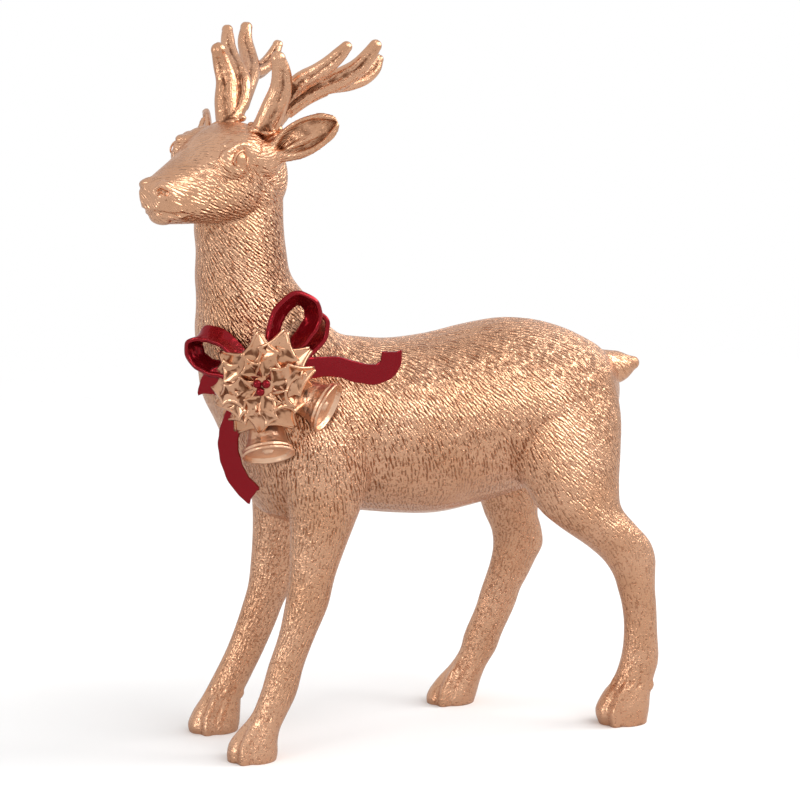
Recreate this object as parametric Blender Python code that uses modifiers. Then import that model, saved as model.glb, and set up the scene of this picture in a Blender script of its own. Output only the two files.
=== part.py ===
"""A standing reindeer figurine with a ribbon bow, a holly spray and two bells at its neck.

The figure faces -X, its left side is toward -Y, and +Z is up. The head is turned to its left.
The origin is on the ground, under the middle of the bounding box.
"""
import math

import bmesh
import bpy
import numpy as np
from mathutils import Matrix, Vector
from mathutils.bvhtree import BVHTree

# Driving sizes, in metres
FIGURE_HEIGHT = 0.248
RIBBON_WIDTH = 0.0070
RIBBON_THICKNESS = 0.0021
BOW_SPAN = 0.068
TAIL_NOTCH = 0.0022
SPRAY_RADIUS = 0.0185
LEAF_THICKNESS = 0.0011
BERRY_DIAMETER = 0.0030
BELL_MOUTH_DIAMETER = 0.0180
BELL_HEIGHT = 0.0140
BELL_RECESS = 0.0016
SEAT_GAP = 0.0003

# The figure's proportions are written on a grid of 248 steps from the ground to the top point
# of the antlers, with the ground on line 2, and the bow's in 68ths of its span
GROUND = 2
GRID = FIGURE_HEIGHT / 248
BOW_GRID = BOW_SPAN / 68

# Fineness of the skins that join the masses
BODY_VOXEL = 1.0 * GRID
ANTLER_VOXEL = 0.6 * GRID
BOW_VOXEL = 0.42 * BOW_GRID
SPRAY_VOXEL = SPRAY_RADIUS / 46
BODY_TRIANGLES = 4500
ANTLER_TRIANGLES = 500
BOW_TRIANGLES = 900
SPRAY_TRIANGLES = 1000
BERRY_TRIANGLES = 220

# Rows of the trunk: place along X, middle height, half width, half height
TRUNK = (
    (-52, 112, 18, 22), (-45, 113, 23, 27), (-30, 113.5, 25.5, 30), (-14, 112.6, 26, 30.6),
    (0, 110.7, 26.5, 30.7), (16, 110.5, 27, 31.7), (31, 112.8, 26.5, 32), (46, 115, 26.5, 31),
    (62, 116, 25.5, 27), (73, 116.5, 21.5, 21.8), (80.5, 117.5, 15.5, 16), (85.5, 118.5, 8, 9.5),
)
# Rows of upright masses: height, middle X, middle Y, half length fore and aft, half width
NECK = (
    (79.5, -33.4, 0, 4.5, 5), (82, -34, 0, 10, 11), (88, -36, 0, 14.2, 16), (95, -38, 0, 16.1, 20),
    (105, -40, 0, 17.7, 23),
    (115, -42, 0, 20, 25), (125, -42, 0, 24.9, 26), (135, -42, 0, 26.6, 25), (143, -43.4, 0, 26, 23.5),
    (149, -47, 0, 22.6, 21.5), (154, -48.3, 0, 21, 19.5), (160, -50.8, 0, 18.4, 18),
    (165, -52.9, 0, 16.7, 16.6), (175, -54.2, -1, 15.4, 15.2), (184, -55.2, -1.8, 15.3, 14.4),
    (192, -54.6, -2.5, 14.5, 13), (200, -52.5, -2, 12, 12),
)
NEAR_FORE_LEG = (
    (126, -30, -14, 15, 8), (112, -30, -16.5, 18, 10.5), (98, -30, -18, 16.5, 10.5), (84, -31.5, -19, 12, 9.3),
    (74, -33.8, -19.5, 9.9, 7.8), (64, -36.1, -20, 8.1, 6.9), (53.5, -38.4, -20.2, 7.5, 6.6),
    (44, -41.8, -20.4, 6.5, 5.4), (34, -45.8, -20.5, 6.2, 5.2), (23, -49.3, -20.6, 6.3, 5.5),
    (16, -53, -20.6, 6.2, 5.7), (12.5, -55.6, -20.6, 7, 6.3), (8, -58, -20.6, 8.4, 7.3),
    (4, -58.5, -20.6, 8.8, 8), (0, -58.8, -20.6, 8.1, 7.7), (-3, -59, -20.6, 8.1, 7.7),
)
FAR_FORE_LEG = (
    (126, -30, 14, 15, 8), (112, -30, 16.5, 18, 10.5), (98, -31, 18, 15, 10.5), (84, -32.5, 19, 10.8, 9.3),
    (74, -33, 19.5, 10, 7.8), (62, -34.8, 20, 8.8, 6.9), (51.5, -37, 20.2, 8, 6.4), (46, -39.4, 20.3, 7.4, 5.7),
    (40, -41.7, 20.4, 7.2, 5.3), (29, -46.7, 20.4, 6.9, 5.3), (18.8, -52.3, 20.4, 6.9, 5.7),
    (14, -55, 20.4, 7, 6.2), (9, -57, 20.4, 8.5, 7.2), (4, -58.2, 20.4, 9.2, 8), (0, -58.2, 20.4, 8, 7.7),
    (-3, -58.2, 20.4, 8, 7.7),
)
NEAR_HIND_LEG = (
    (128, 60, -12, 20, 9), (112, 59, -16, 22.5, 11.5), (98, 59.2, -19, 20.8, 11.5), (88, 61.3, -21, 17.4, 10.5),
    (79.4, 64.5, -22.5, 14.8, 9.5), (73.5, 70.4, -23.5, 13.7, 8.6), (67.5, 77.3, -24, 12.1, 7.6),
    (61.5, 81.9, -24.2, 9.8, 6.8), (55.8, 83.9, -24.4, 7.8, 6.2), (50, 84.9, -24.5, 6.8, 5.6),
    (44.6, 85.9, -24.5, 6.3, 5.3), (33.6, 86.7, -24.5, 6.1, 5.3), (22.8, 86, -24.5, 7.1, 5.9),
    (17.5, 84, -24.5, 7.4, 6.2), (12.5, 81.4, -24.5, 8.9, 7), (7, 79.8, -24.5, 9.9, 7.9),
    (0, 80.2, -24.5, 8.3, 7.6), (-3, 80.2, -24.5, 8.3, 7.6),
)
FAR_HIND_LEG = (
    (128, 60, 12, 20, 9), (112, 60, 16, 22, 11.5), (98, 59, 19, 20, 11.5), (86, 57, 21.5, 15.5, 10),
    (78, 56.8, 22.8, 12, 8.8), (70.3, 57.6, 23.5, 9.9, 7.8), (64, 60, 24, 9.4, 7), (58, 60.6, 24.2, 9.4, 6.6),
    (52.7, 58.8, 24.4, 8.5, 6.1), (47, 56.4, 24.6, 8, 5.7), (42, 54.1, 24.8, 7.5, 5.4),
    (36.5, 52.2, 24.8, 7.4, 5.3),
    (26, 47.2, 24.8, 7.1, 5.5), (20, 45, 24.8, 6.7, 5.7), (15, 41.4, 24.8, 6.7, 6.2), (10, 37.6, 24.8, 8.2, 7),
    (4.5, 34.8, 24.8, 9.2, 7.8), (0, 34.2, 24.8, 8.3, 7.5), (-3, 34.2, 24.8, 8.3, 7.5),
)
# Where masses join and the skin is evened out: middle and radius
JOINS = (
    ((-30, -20, 90), 20), ((-30, 20, 90), 20), ((-22, 0, 142), 26), ((-45, 0, 140), 26), ((56, -22, 92), 24),
    ((56, 22, 92), 24), ((-52, -2, 186), 22), ((80, 0, 124), 16), ((30, 0, 90), 26), ((62, 0, 105), 34),
    ((-40, 0, 100), 30),
)
# Middle of each sole, X and Y, the toe toward -X
HOOVES = ((-58.8, -20.6), (-58.2, 20.4), (80.2, -24.5), (34.2, 24.8))
# Rows of the head: place along its axis, top, bottom, half width, how oval (1) or square (0) it is
HEAD = (
    (-10.5, 207, 192, 7, 1), (-6, 213, 188, 11.5, 0.95), (0, 217, 184.5, 13.6, 0.9), (8, 218.6, 185, 14.6, 0.82),
    (15, 217.4, 185.5, 14.8, 0.78), (20, 215.4, 186, 13.8, 0.8), (24, 213, 186, 12.4, 0.85),
    (29, 210, 186.4, 10.8, 0.92), (36, 206.6, 186.8, 9.1, 1), (41, 204.2, 187.4, 8.3, 1),
    (44.5, 202.6, 189.4, 7.3, 1), (47.2, 200, 192.6, 4.8, 1),
)
# Balls on each side of the head: place in its frame and radii; skull, orbit, brow, cheek, nostril
FACE_MASSES = (
    ((13, 8.3, 208.3), (9.5, 6.8, 8)), ((19.5, 10.4, 207), (5.8, 5.7, 6)), ((19.5, 10.6, 212.8), (4.4, 2.6, 1.7)),
    ((9, 7, 195.5), (11, 6.5, 9.5)), ((43.4, 3.4, 199.4), (3.7, 3.8, 3.2)),
)
CHIN = ((41, 0, 190), (4.8, 5.2, 3.2))
# The two knobs behind each fetlock: behind, aside of and above the sole's middle, and radii
DEWCLAW = ((7.4, 3, 16), (2.4, 2.1, 2.6))
HEAD_PIVOT = Vector((-50, 0, 200))
HEAD_TURN = math.radians(25)
HEAD_ROLL = math.radians(3)
EYE = (20.5, 15, 208.6)
NOSTRIL = (46.2, 5.2, 199)
MOUTH = ((48, 0, 192), (45, 5, 191.6), (37.5, 9, 190.8))
# Points of one ear and one antler in the head's frame, each with its half width
EAR = (
    (3, 10, 207.6, 3.4), (3.6, 16, 209.4, 5.2), (0.5, 21.8, 212.3, 6.8), (-4.2, 27, 215.6, 6.2),
    (-8.4, 31, 218.1, 3.6), (-9.6, 32.4, 218.9, 1.8),
)
EAR_FACE = (0.88, 0.45, 0.12)
EAR_THICKNESS = 2.5
EAR_TILT = 0.13
EAR_CUP = 3.3
TINES = (
    ((4, 7.5, 212, 4), (2, 8.7, 217.4, 4.4), (-1.8, 9.4, 220.6, 4.2), (-5.4, 10.2, 224.6, 4),
     (-7.6, 11.7, 228.9, 3.9), (-9.1, 15, 232.6, 3.7), (-11.4, 20.3, 236.2, 3.3), (-13.8, 24.5, 240, 2.9),
     (-16, 27.1, 243.4, 2.5), (-17.2, 28.4, 245.4, 2)),
    ((-5.8, 10.4, 222.6, 3.4), (-11.4, 13.6, 227.4, 3.7), (-18.9, 19.1, 232.2, 3.9), (-22, 22.7, 234.5, 3.8),
     (-24.4, 25.9, 237.3, 3.4), (-26.5, 29.1, 241.4, 2.9), (-28.8, 30.8, 245.4, 2.2)),
    ((-18.9, 19.1, 231.4, 3.2), (-26.6, 21, 232.2, 3.2), (-32.5, 23, 234.4, 3), (-35.9, 23.9, 237.2, 2.5),
     (-37.4, 24, 239.6, 1.9)),
    ((2, 8.7, 217, 4.5), (1.6, 11.2, 224, 4.3), (0.9, 12.8, 231, 3.6), (0.6, 14, 237, 3),
     (0.2, 14.1, 241.2, 2.3)),
)
COLLAR = (2.4, 8.5, 217.6)
COLLAR_RADIUS = 3.4
COLLAR_LUMPS = 9
COLLAR_LUMP_RADII = (1.5, 1.85, 2.2)
TAIL = ((76, 0, 125.4, 8), (84.5, 0, 125.6, 6.2), (90, 0, 126, 5), (94.2, 0, 126.8, 2.5))

# The bow sits where a line from this side of the neck meets the skin
BOW_HEIGHT = 131
BOW_SIDE = Vector((-0.45, -0.893, 0)).normalized()
# Paths of the ribbon round the bow's middle: across, up, out. A loop's rows end with how far
# its flat side leans across and up; a tail's flat side faces outward
RIGHT_LOOP = (
    (1, 3, 4, 0.5, 0.1), (2.8, 17, 2.5, 0.5, 0.15), (5.6, 26.4, 0, 0.35, 0.4), (10.6, 30.2, -2.6, 0.3, 0.55),
    (15, 27.6, -4.4, 0.6, 0.3), (15.6, 23, -4.8, 0.75, -0.1), (13, 18, -4, 0.75, -0.35),
    (9, 13, -1.6, 0.65, -0.35), (3, 5, 2, 0.4, -0.3),
)
BACK_FOLD = (
    (6, 6, 0, 0.5, -0.4), (13, 12, -4, 0.5, -0.4), (18, 17.5, -7.4, 0.5, -0.3), (19, 21.5, -8.4, 0.4, 0.1),
    (15, 25, -8.4, 0.2, 0.3),
)
LEFT_LOOP = (
    (-2, 4, 4, 0, -0.3), (-9.4, 12.4, 2, 0.1, -0.4), (-16, 17.2, -0.6, -0.1, -0.45),
    (-21.8, 18, -2.4, -0.3, -0.45),
    (-25.2, 14.8, -3.4, -0.6, -0.25), (-24.6, 10.6, -3.2, -0.6, -0.3), (-21, 7, -2, -0.35, -0.5),
    (-14, 5.6, 0, -0.1, -0.5), (-4, 3, 3, 0, -0.4),
)
LOWER_TAIL = (
    (-4, -3, 3.5), (-9.8, -9, 1.6), (-12.4, -15.2, -1), (-13.2, -20.2, -2.6), (-12.4, -26.6, -4.4),
    (-10, -33, -6.2), (-5.4, -38.6, -7.8),
)
RIGHT_TAIL = (
    (2, 3, 4), (9, 5, 1.4), (16, 6.6, -2.4), (24, 6.4, -5.6), (31, 4.2, -7.6), (37, 3.8, -8.2), (41, 6.6, -7.8),
    (42, 11.6, -7),
)
SHORT_TAIL = ((-3, 1, 3), (-10, 2, 1), (-15, 0.6, -1.5), (-18.6, -2.4, -3.6))
KNOT = ((0, 1, 2.2), (7, 6.5, 4.2))

# Leaves round the spray's middle: heading in degrees, length as a share of the radius, then in
# 68ths of the bow's span how high the leaf starts and how much its point rises
OUTER_LEAVES = (
    (97, 0.98, 0.0, 0.2), (69, 1.02, -1.6, 0.8), (37, 0.94, 0.6, -0.6), (12, 0.9, -1.4, 0.8),
    (-13, 0.96, 0.4, -0.6),
    (-48, 0.9, -1.0, 0.2), (141, 0.98, -1.2, 1.0), (171, 1.02, 0.4, 0), (203, 0.94, -1.2, 0.8), (235, 1.1, 0.2, -0.4),
    (264, 0.78, -1.0, 0.4),
)
INNER_LEAVES = (
    (126, 0.62, 1.8, 2.0), (80, 0.64, 2.4, 1.4), (28, 0.6, 1.8, 1.8), (-28, 0.62, 2.0, 2.0), (-96, 0.66, 2.2, 1.2),
    (188, 0.64, 1.8, 2.0),
)
LEAF_ASPECT = 0.38
LEAF_FOLD = 0.0017
LEAF_EDGE = (
    (0.0, 0.2), (0.12, 0.56), (0.24, 1.0), (0.37, 0.62), (0.52, 1.0), (0.66, 0.5), (0.78, 0.66), (0.89, 0.24),
    (1.0, 0.02),
)
NECK_RADIUS = 0.025
SPRAY_OUT = 5.5
# The boss that the leaves grow from, as shares of the spray's radius
BOSS = (0.24, 0.24, 0.16)
# Berries round the bow's middle, as shares of their diameter, and how deep they sink
BERRIES = ((-0.57, 0.37), (0.43, 0.37), (-0.23, -0.5))
BERRY_SINK = 0.22

# Bells: mouth's middle round the bow's middle, and the way that the mouth looks
FRONT_BELL = ((1.3, -22.6, 3.6), (0.15, -0.88, 0.46))
SIDE_BELL = ((21.2, -6.9, -1.0), (0.89, -0.38, 0.25))
# The bell's outline as shares of its mouth radius and of its height from the mouth
BELL_OUTLINE = (
    (0.0, 1.0), (0.42, 0.97), (0.62, 0.85), (0.69, 0.62), (0.77, 0.35), (0.87, 0.21), (0.94, 0.16), (0.93, 0.1),
    (1.0, 0.05), (0.99, 0.0),
)
# The mouth's inner rim, its floor and the knob's foot and top, as shares of the mouth radius and the recess
BELL_MOUTH = ((0.9, 0.0), (0.84, 1.0), (0.24, 1.0), (0.16, 0.4), (0.0, 0.2))
BELL_SIDES = 16


def clear_scene():
    """Take every object out of the scene."""
    for old in list(bpy.data.objects):
        bpy.data.objects.remove(old, do_unlink=True)


def material(name, colour, roughness, metallic):
    """A plain Principled finish."""
    finish = bpy.data.materials.new(name)
    finish.use_nodes = True
    shader = finish.node_tree.nodes["Principled BSDF"]
    shader.inputs["Base Color"].default_value = (*colour, 1)
    shader.inputs["Roughness"].default_value = roughness
    shader.inputs["Metallic"].default_value = metallic
    finish.diffuse_color = (*colour, 1)
    return finish


def gold(name):
    """Warm copper-gold paint."""
    return material(name, (0.60, 0.33, 0.16), 0.36, 0.85)


def red(name):
    """Deep red lacquer."""
    return material(name, (0.27, 0.012, 0.025), 0.22, 0.0)


def new_object(name, mesh):
    """An object for the mesh, linked to the scene."""
    piece = bpy.data.objects.new(name, mesh)
    bpy.context.scene.collection.objects.link(piece)
    return piece


def positions(mesh):
    """The mesh's vertices as an array."""
    flat = np.empty(len(mesh.vertices) * 3)
    mesh.vertices.foreach_get("co", flat)
    return flat.reshape(-1, 3)


def normals(mesh):
    """The vertex normals as an array."""
    flat = np.empty(len(mesh.vertices) * 3)
    mesh.vertex_normals.foreach_get("vector", flat)
    return flat.reshape(-1, 3)


def place(mesh, points):
    """Write the vertices back."""
    mesh.vertices.foreach_set("co", points.ravel())
    mesh.update()


def smooth_rows(rows, steps):
    """Rows on a cubic through the given ones; the first column is the key."""
    rows = np.array(rows, float)
    keys = rows[:, 0]
    slopes = np.gradient(rows, keys, axis=0)
    between = []
    for low in range(len(rows) - 1):
        span = keys[low + 1] - keys[low]
        for f in np.arange(steps) / steps:
            start = (1 + 2 * f) * (1 - f) ** 2 * rows[low] + f * (1 - f) ** 2 * span * slopes[low]
            stop = f * f * (3 - 2 * f) * rows[low + 1] + f * f * (f - 1) * span * slopes[low + 1]
            between.append(start + stop)
    between.append(rows[-1])
    return between


def smooth_path(points, steps):
    """The same for points of a path, keyed by the way along it."""
    points = np.array(points, float)
    steps_along = np.linalg.norm(np.diff(points[:, :3], axis=0), axis=1)
    along = np.concatenate(([0], np.cumsum(steps_along)))
    return [row[1:] for row in smooth_rows(np.column_stack((along, points)), steps)]


def loft(name, rings):
    """A closed solid through rings of equal count."""
    count = len(rings[0])
    faces = []
    for ring in range(len(rings) - 1):
        for k in range(count):
            here = ring * count + k
            beside = ring * count + (k + 1) % count
            faces.append((here, beside, beside + count, here + count))
    last = (len(rings) - 1) * count
    faces.append(tuple(range(count))[::-1])
    faces.append(tuple(range(last, last + count)))
    mesh = bpy.data.meshes.new(name)
    mesh.from_pydata([point for ring in rings for point in ring], [], faces)
    shape = bmesh.new()
    shape.from_mesh(mesh)
    bmesh.ops.recalc_face_normals(shape, faces=shape.faces)
    shape.to_mesh(mesh)
    shape.free()
    return new_object(name, mesh)


def oval(middle, side, up, count=32, roundness=1.0):
    """A ring of points on an oval with two half axes; a roundness under one squares it."""
    ring = []
    for k in range(count):
        angle = 2 * math.pi * k / count
        across = math.copysign(abs(math.cos(angle)) ** roundness, math.cos(angle))
        upward = math.copysign(abs(math.sin(angle)) ** roundness, math.sin(angle))
        ring.append(middle + side * across + up * upward)
    return ring


def ball(middle, radii):
    """An ellipsoid with its axes along X, Y and Z."""
    mesh = bpy.data.meshes.new("ball")
    shape = bmesh.new()
    bmesh.ops.create_uvsphere(shape, u_segments=24, v_segments=12, radius=1)
    shape.to_mesh(mesh)
    shape.free()
    mesh.transform(Matrix.Translation(middle) @ Matrix.Diagonal((*radii, 1)))
    return new_object("ball", mesh)


def baked(piece):
    """Apply the modifiers of an object."""
    graph = bpy.context.evaluated_depsgraph_get()
    mesh = bpy.data.meshes.new_from_object(piece.evaluated_get(graph))
    piece.modifiers.clear()
    piece.data = mesh
    return piece


def fuse(name, pieces, voxel):
    """One closed skin round overlapping solids."""
    whole = bmesh.new()
    for piece in pieces:
        whole.from_mesh(piece.data)
        bpy.data.objects.remove(piece)
    mesh = bpy.data.meshes.new(name)
    whole.to_mesh(mesh)
    whole.free()
    skin = new_object(name, mesh)
    remesh = skin.modifiers.new("skin", "REMESH")
    remesh.mode = "VOXEL"
    remesh.voxel_size = voxel
    return baked(skin)


def relax(mesh, rounds, share):
    """Even out the vertices; share is how far each moves, and every second round gives volume back."""
    edges = np.empty(len(mesh.edges) * 2, int)
    mesh.edges.foreach_get("vertices", edges)
    first, second = edges.reshape(-1, 2).T
    points = positions(mesh)
    degree = np.bincount(edges, minlength=len(points))
    for turn in range(rounds):
        step = -0.53 if turn % 2 else 0.5
        for axis in range(3):
            value = points[:, axis]
            total = np.bincount(first, value[second], len(points))
            total += np.bincount(second, value[first], len(points))
            points[:, axis] = value + step * share * (total / degree - value)
    place(mesh, points)


def thin(piece, triangles):
    """Bring the mesh down to about this many triangles."""
    piece.data.calc_loop_triangles()
    decimate = piece.modifiers.new("thin", "DECIMATE")
    decimate.ratio = triangles / len(piece.data.loop_triangles)
    decimate.use_collapse_triangulate = True
    return baked(piece)


def keep_largest(mesh):
    """Drop loose chips that a cut leaves."""
    shape = bmesh.new()
    shape.from_mesh(mesh)
    left = set(shape.verts)
    bodies = []
    while left:
        body = []
        todo = [left.pop()]
        while todo:
            vertex = todo.pop()
            body.append(vertex)
            for edge in vertex.link_edges:
                other = edge.other_vert(vertex)
                if other in left:
                    left.remove(other)
                    todo.append(other)
        bodies.append(body)
    bodies.sort(key=len)
    for body in bodies[:-1]:
        bmesh.ops.delete(shape, geom=body, context="VERTS")
    shape.to_mesh(mesh)
    shape.free()


def seat(piece, neighbours):
    """Cut the piece back so that it clears its neighbours by the gap."""
    for neighbour in neighbours:
        cutter = new_object("cutter", neighbour.data.copy())
        place(cutter.data, positions(cutter.data) + normals(cutter.data) * SEAT_GAP * 1.25)
        cut = piece.modifiers.new("seat", "BOOLEAN")
        cut.operation = "DIFFERENCE"
        cut.solver = "EXACT"
        cut.object = cutter
        baked(piece)
        bpy.data.objects.remove(cutter)
    keep_largest(piece.data)
    return piece


def head_axes():
    """The head's own axes: forward, to the figure's right with that side a little high, and up."""
    forward = Vector((-math.cos(HEAD_TURN), -math.sin(HEAD_TURN), 0))
    right = Vector((-math.sin(HEAD_TURN), math.cos(HEAD_TURN), math.tan(HEAD_ROLL)))
    return forward, right, Vector((0, 0, 1))


def head_point(along, across, height):
    """A place given in the head's frame, in metres."""
    forward, right, up = head_axes()
    place_in_grid = HEAD_PIVOT + forward * along + right * across + up * (height - HEAD_PIVOT.z)
    return place_in_grid * GRID


def head_way(along, across, height):
    """A direction given in the head's frame."""
    forward, right, up = head_axes()
    return (forward * along + right * across + up * height).normalized()


def trunk():
    """Barrel of the body, from the chest to the rump."""
    rings = []
    for x, z, width, height in smooth_rows(TRUNK, 4):
        rings.append(oval(Vector((x, 0, z)) * GRID, Vector((0, width * GRID, 0)), Vector((0, 0, height * GRID))))
    return loft("trunk", rings)


def upright(name, rows):
    """A mass with level oval sections."""
    rings = []
    for z, x, y, length, width in smooth_rows(rows[::-1], 4):
        rings.append(oval(Vector((x, y, z)) * GRID, Vector((length * GRID, 0, 0)), Vector((0, width * GRID, 0))))
    return loft(name, rings)


def head():
    """Skull and muzzle."""
    forward, right, up = head_axes()
    rings = []
    for along, top, bottom, width, roundness in smooth_rows(HEAD, 4):
        middle = head_point(along, 0, (top + bottom) / 2)
        rings.append(oval(middle, right * width * GRID, up * (top - bottom) / 2 * GRID, roundness=roundness))
    return loft("head", rings)


def face_masses():
    """Skull, orbits, brows, cheeks, nostrils and chin."""
    masses = []
    for (along, across, height), radii in FACE_MASSES:
        for side in (-1, 1):
            masses.append(ball(head_point(along, side * across, height), Vector(radii) * GRID))
    masses.append(ball(head_point(*CHIN[0]), Vector(CHIN[1]) * GRID))
    return masses


def swept(name, points, flatness, facing):
    """A tapering round or flat tube along points that carry a half width."""
    path = smooth_path(points, 5)
    rings = []
    for k, (x, y, z, radius) in enumerate(path):
        ahead = Vector(path[min(k + 1, len(path) - 1)][:3])
        behind = Vector(path[max(k - 1, 0)][:3])
        along = (ahead - behind).normalized()
        side = along.cross(facing).normalized()
        rings.append(oval(Vector((x, y, z)), side * radius, side.cross(along) * radius * flatness, 16))
    return loft(name, rings)


def in_head(points, side):
    """Points of the head's frame with a half width, placed on one side."""
    placed = []
    for along, across, height, radius in points:
        placed.append((*head_point(along, side * across, height), radius * GRID))
    return placed


def round_end(points):
    """A ball that closes the last point of a tube."""
    x, y, z, radius = points[-1]
    return ball(Vector((x, y, z)), (radius, radius, radius))


def ear_points(side):
    """The ear's points on one side; the near ear is held higher than the far one."""
    root = EAR[0][1]
    return [(along, across, height - side * EAR_TILT * (across - root), wide) for along, across, height, wide in EAR]


def ear(side):
    """One leaf-shaped ear."""
    facing = head_way(EAR_FACE[0], side * EAR_FACE[1], EAR_FACE[2])
    return swept("ear", in_head(ear_points(side), side), EAR_THICKNESS / EAR[2][3], facing)


def dewclaws():
    """The two small knobs behind each fetlock."""
    knobs = []
    (behind, aside, above), radii = DEWCLAW
    for x, y in HOOVES:
        for side in (-1, 1):
            knobs.append(ball(Vector((x + behind, y + side * aside, above)) * GRID, Vector(radii) * GRID))
    return knobs


def near(points, middle, radius):
    """Weight of each point, one at the middle and none past the radius."""
    away = np.linalg.norm(points - np.array(middle), axis=1) / (radius * GRID)
    return np.clip(1 - away ** 2, 0, 1) ** 2


def near_line(points, corners, radius):
    """The same, for a line through corners."""
    closest = np.full(len(points), np.inf)
    for start, stop in zip(corners[:-1], corners[1:]):
        start = np.array(start)
        way = np.array(stop) - start
        share = np.clip((points - start) @ way / (way @ way), 0, 1)
        closest = np.minimum(closest, np.linalg.norm(points - start - share[:, None] * way, axis=1))
    return np.clip(1 - (closest / (radius * GRID)) ** 2, 0, 1) ** 2


def carve_face(mesh):
    """Eyes with their lids, nostrils, the mouth and the hollows of the ears."""
    for side in (-1, 1):
        points, out = positions(mesh), normals(mesh)
        eye = head_point(EYE[0], side * EYE[1], EYE[2])
        lift = -1.1 * near(points, eye, 4.6) + 1.7 * near(points, eye, 2.9)
        lift -= 1.3 * near(points, head_point(NOSTRIL[0], side * NOSTRIL[1], NOSTRIL[2]), 2.4)
        lips = [head_point(along, side * across, height) for along, across, height in MOUTH]
        lift -= 0.9 * near_line(points, lips, 1.7)
        facing = np.array(head_way(EAR_FACE[0], side * EAR_FACE[1], EAR_FACE[2]))
        hollow = [head_point(along, side * across, height) for along, across, height, wide in ear_points(side)[1:4]]
        cup = EAR_CUP * near_line(points, hollow, 5.6) * np.clip(out @ facing, 0, 1)
        place(mesh, points + out * (lift * GRID)[:, None] - facing * (cup * GRID)[:, None])


def carve_hooves(mesh):
    """The cleft up the front of each hoof, and the step where the hoof starts."""
    points, out = positions(mesh), normals(mesh)
    lift = np.zeros(len(points))
    for x, y in HOOVES:
        front = (points[:, 0] < (x - 2) * GRID) & (points[:, 0] > (x - 14) * GRID)
        low = np.clip((14 * GRID - points[:, 2]) / (3 * GRID), 0, 1)
        across = (points[:, 1] - y * GRID) / (1.5 * GRID)
        lift -= 1.1 * front * low * np.exp(-across ** 2)
    place(mesh, points + out * (lift * GRID)[:, None])


def crease_weights(points):
    """Where masses meet and the skin is evened out most."""
    weight = np.full(len(points), 0.25)
    for middle, radius in JOINS:
        weight = np.maximum(weight, near(points, Vector(middle) * GRID, radius))
    return np.clip(weight, 0, 1)


def stand_flat(mesh):
    """Cut the soles off level with the ground."""
    shape = bmesh.new()
    shape.from_mesh(mesh)
    everything = shape.verts[:] + shape.edges[:] + shape.faces[:]
    sole = (0, 0, GROUND * GRID)
    cut = bmesh.ops.bisect_plane(shape, geom=everything, plane_co=sole, plane_no=(0, 0, -1), clear_outer=True)
    rim = [item for item in cut["geom_cut"] if isinstance(item, bmesh.types.BMEdge)]
    bmesh.ops.holes_fill(shape, edges=rim)
    bmesh.ops.triangulate(shape, faces=shape.faces)
    shape.to_mesh(mesh)
    shape.free()


def body():
    """The deer itself, cast in one piece."""
    masses = [trunk(), upright("neck", NECK), head(), ear(-1), ear(1), *face_masses(), *dewclaws()]
    for rows in (NEAR_FORE_LEG, FAR_FORE_LEG, NEAR_HIND_LEG, FAR_HIND_LEG):
        masses.append(upright("leg", rows))
    tail = [(x * GRID, y * GRID, z * GRID, radius * GRID) for x, y, z, radius in TAIL]
    masses.append(swept("tail", tail, 1.05, Vector((0, 0, 1))))
    masses.append(round_end(tail))
    skin = fuse("deer_body", masses, BODY_VOXEL)
    weight = crease_weights(positions(skin.data))
    relax(skin.data, 60, weight)
    carve_face(skin.data)
    carve_hooves(skin.data)
    relax(skin.data, 2, 0.6)
    thin(skin, BODY_TRIANGLES)
    stand_flat(skin.data)
    return skin


def collar(side):
    """Ring of small lumps round the antler's foot."""
    middle = head_point(COLLAR[0], side * COLLAR[1], COLLAR[2])
    up = head_way(0.15, side * 0.25, 1)
    across = up.orthogonal()
    lumps = []
    for k in range(COLLAR_LUMPS):
        turn = Matrix.Rotation(2 * math.pi * k / COLLAR_LUMPS, 3, up)
        size = COLLAR_LUMP_RADII[k % 3] * GRID
        lumps.append(ball(middle + turn @ across * COLLAR_RADIUS * GRID, (size, size, size)))
    return lumps


def antler(name, side, head_skin):
    """One antler with its four points."""
    solids = collar(side)
    for tine in TINES:
        points = in_head(tine, side)
        solids.append(swept("tine", points, 0.92, head_way(0.3, side, 0.2)))
        solids.append(round_end(points))
    skin = fuse(name, solids, ANTLER_VOXEL)
    relax(skin.data, 8, 0.8)
    thin(skin, ANTLER_TRIANGLES)
    return seat(skin, [head_skin])


def bow_frame(skin):
    """The bow's middle on the skin, and its axes across, up and out."""
    graph = bpy.context.evaluated_depsgraph_get()
    tree = BVHTree.FromObject(skin, graph)
    target = Vector((-42, 0, BOW_HEIGHT)) * GRID
    start = target + BOW_SIDE * FIGURE_HEIGHT
    hit = tree.ray_cast(start, -BOW_SIDE)[0]
    across = Vector((0, 0, 1)).cross(BOW_SIDE)
    return Matrix((
        (across.x, 0, BOW_SIDE.x, hit.x), (across.y, 0, BOW_SIDE.y, hit.y), (0, 1, 0, hit.z), (0, 0, 0, 1),
    ))


def strip(frame, path, wides, notch=0.0):
    """A length of ribbon along a path, its width along the direction given with each point."""
    rings = []
    for k, (middle, wide) in enumerate(zip(path, wides)):
        reach = notch if k == len(path) - 1 else 0.0
        along = (path[min(k + 1, len(path) - 1)] - path[max(k - 1, 0)]).normalized()
        wide = (wide - along * wide.dot(along)).normalized()
        thick = along.cross(wide)
        ring = []
        for corner in range(12):
            angle = 2 * math.pi * corner / 12
            share = abs(math.cos(angle)) ** 0.5
            edge = wide * math.copysign(share, math.cos(angle)) * RIBBON_WIDTH / 2
            face = thick * math.copysign(abs(math.sin(angle)) ** 0.7, math.sin(angle)) * RIBBON_THICKNESS / 2
            ring.append(frame @ (middle * BOW_GRID + edge + face + along * reach * (share - 0.5)))
        rings.append(ring)
    return loft("strip", rings)


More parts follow.
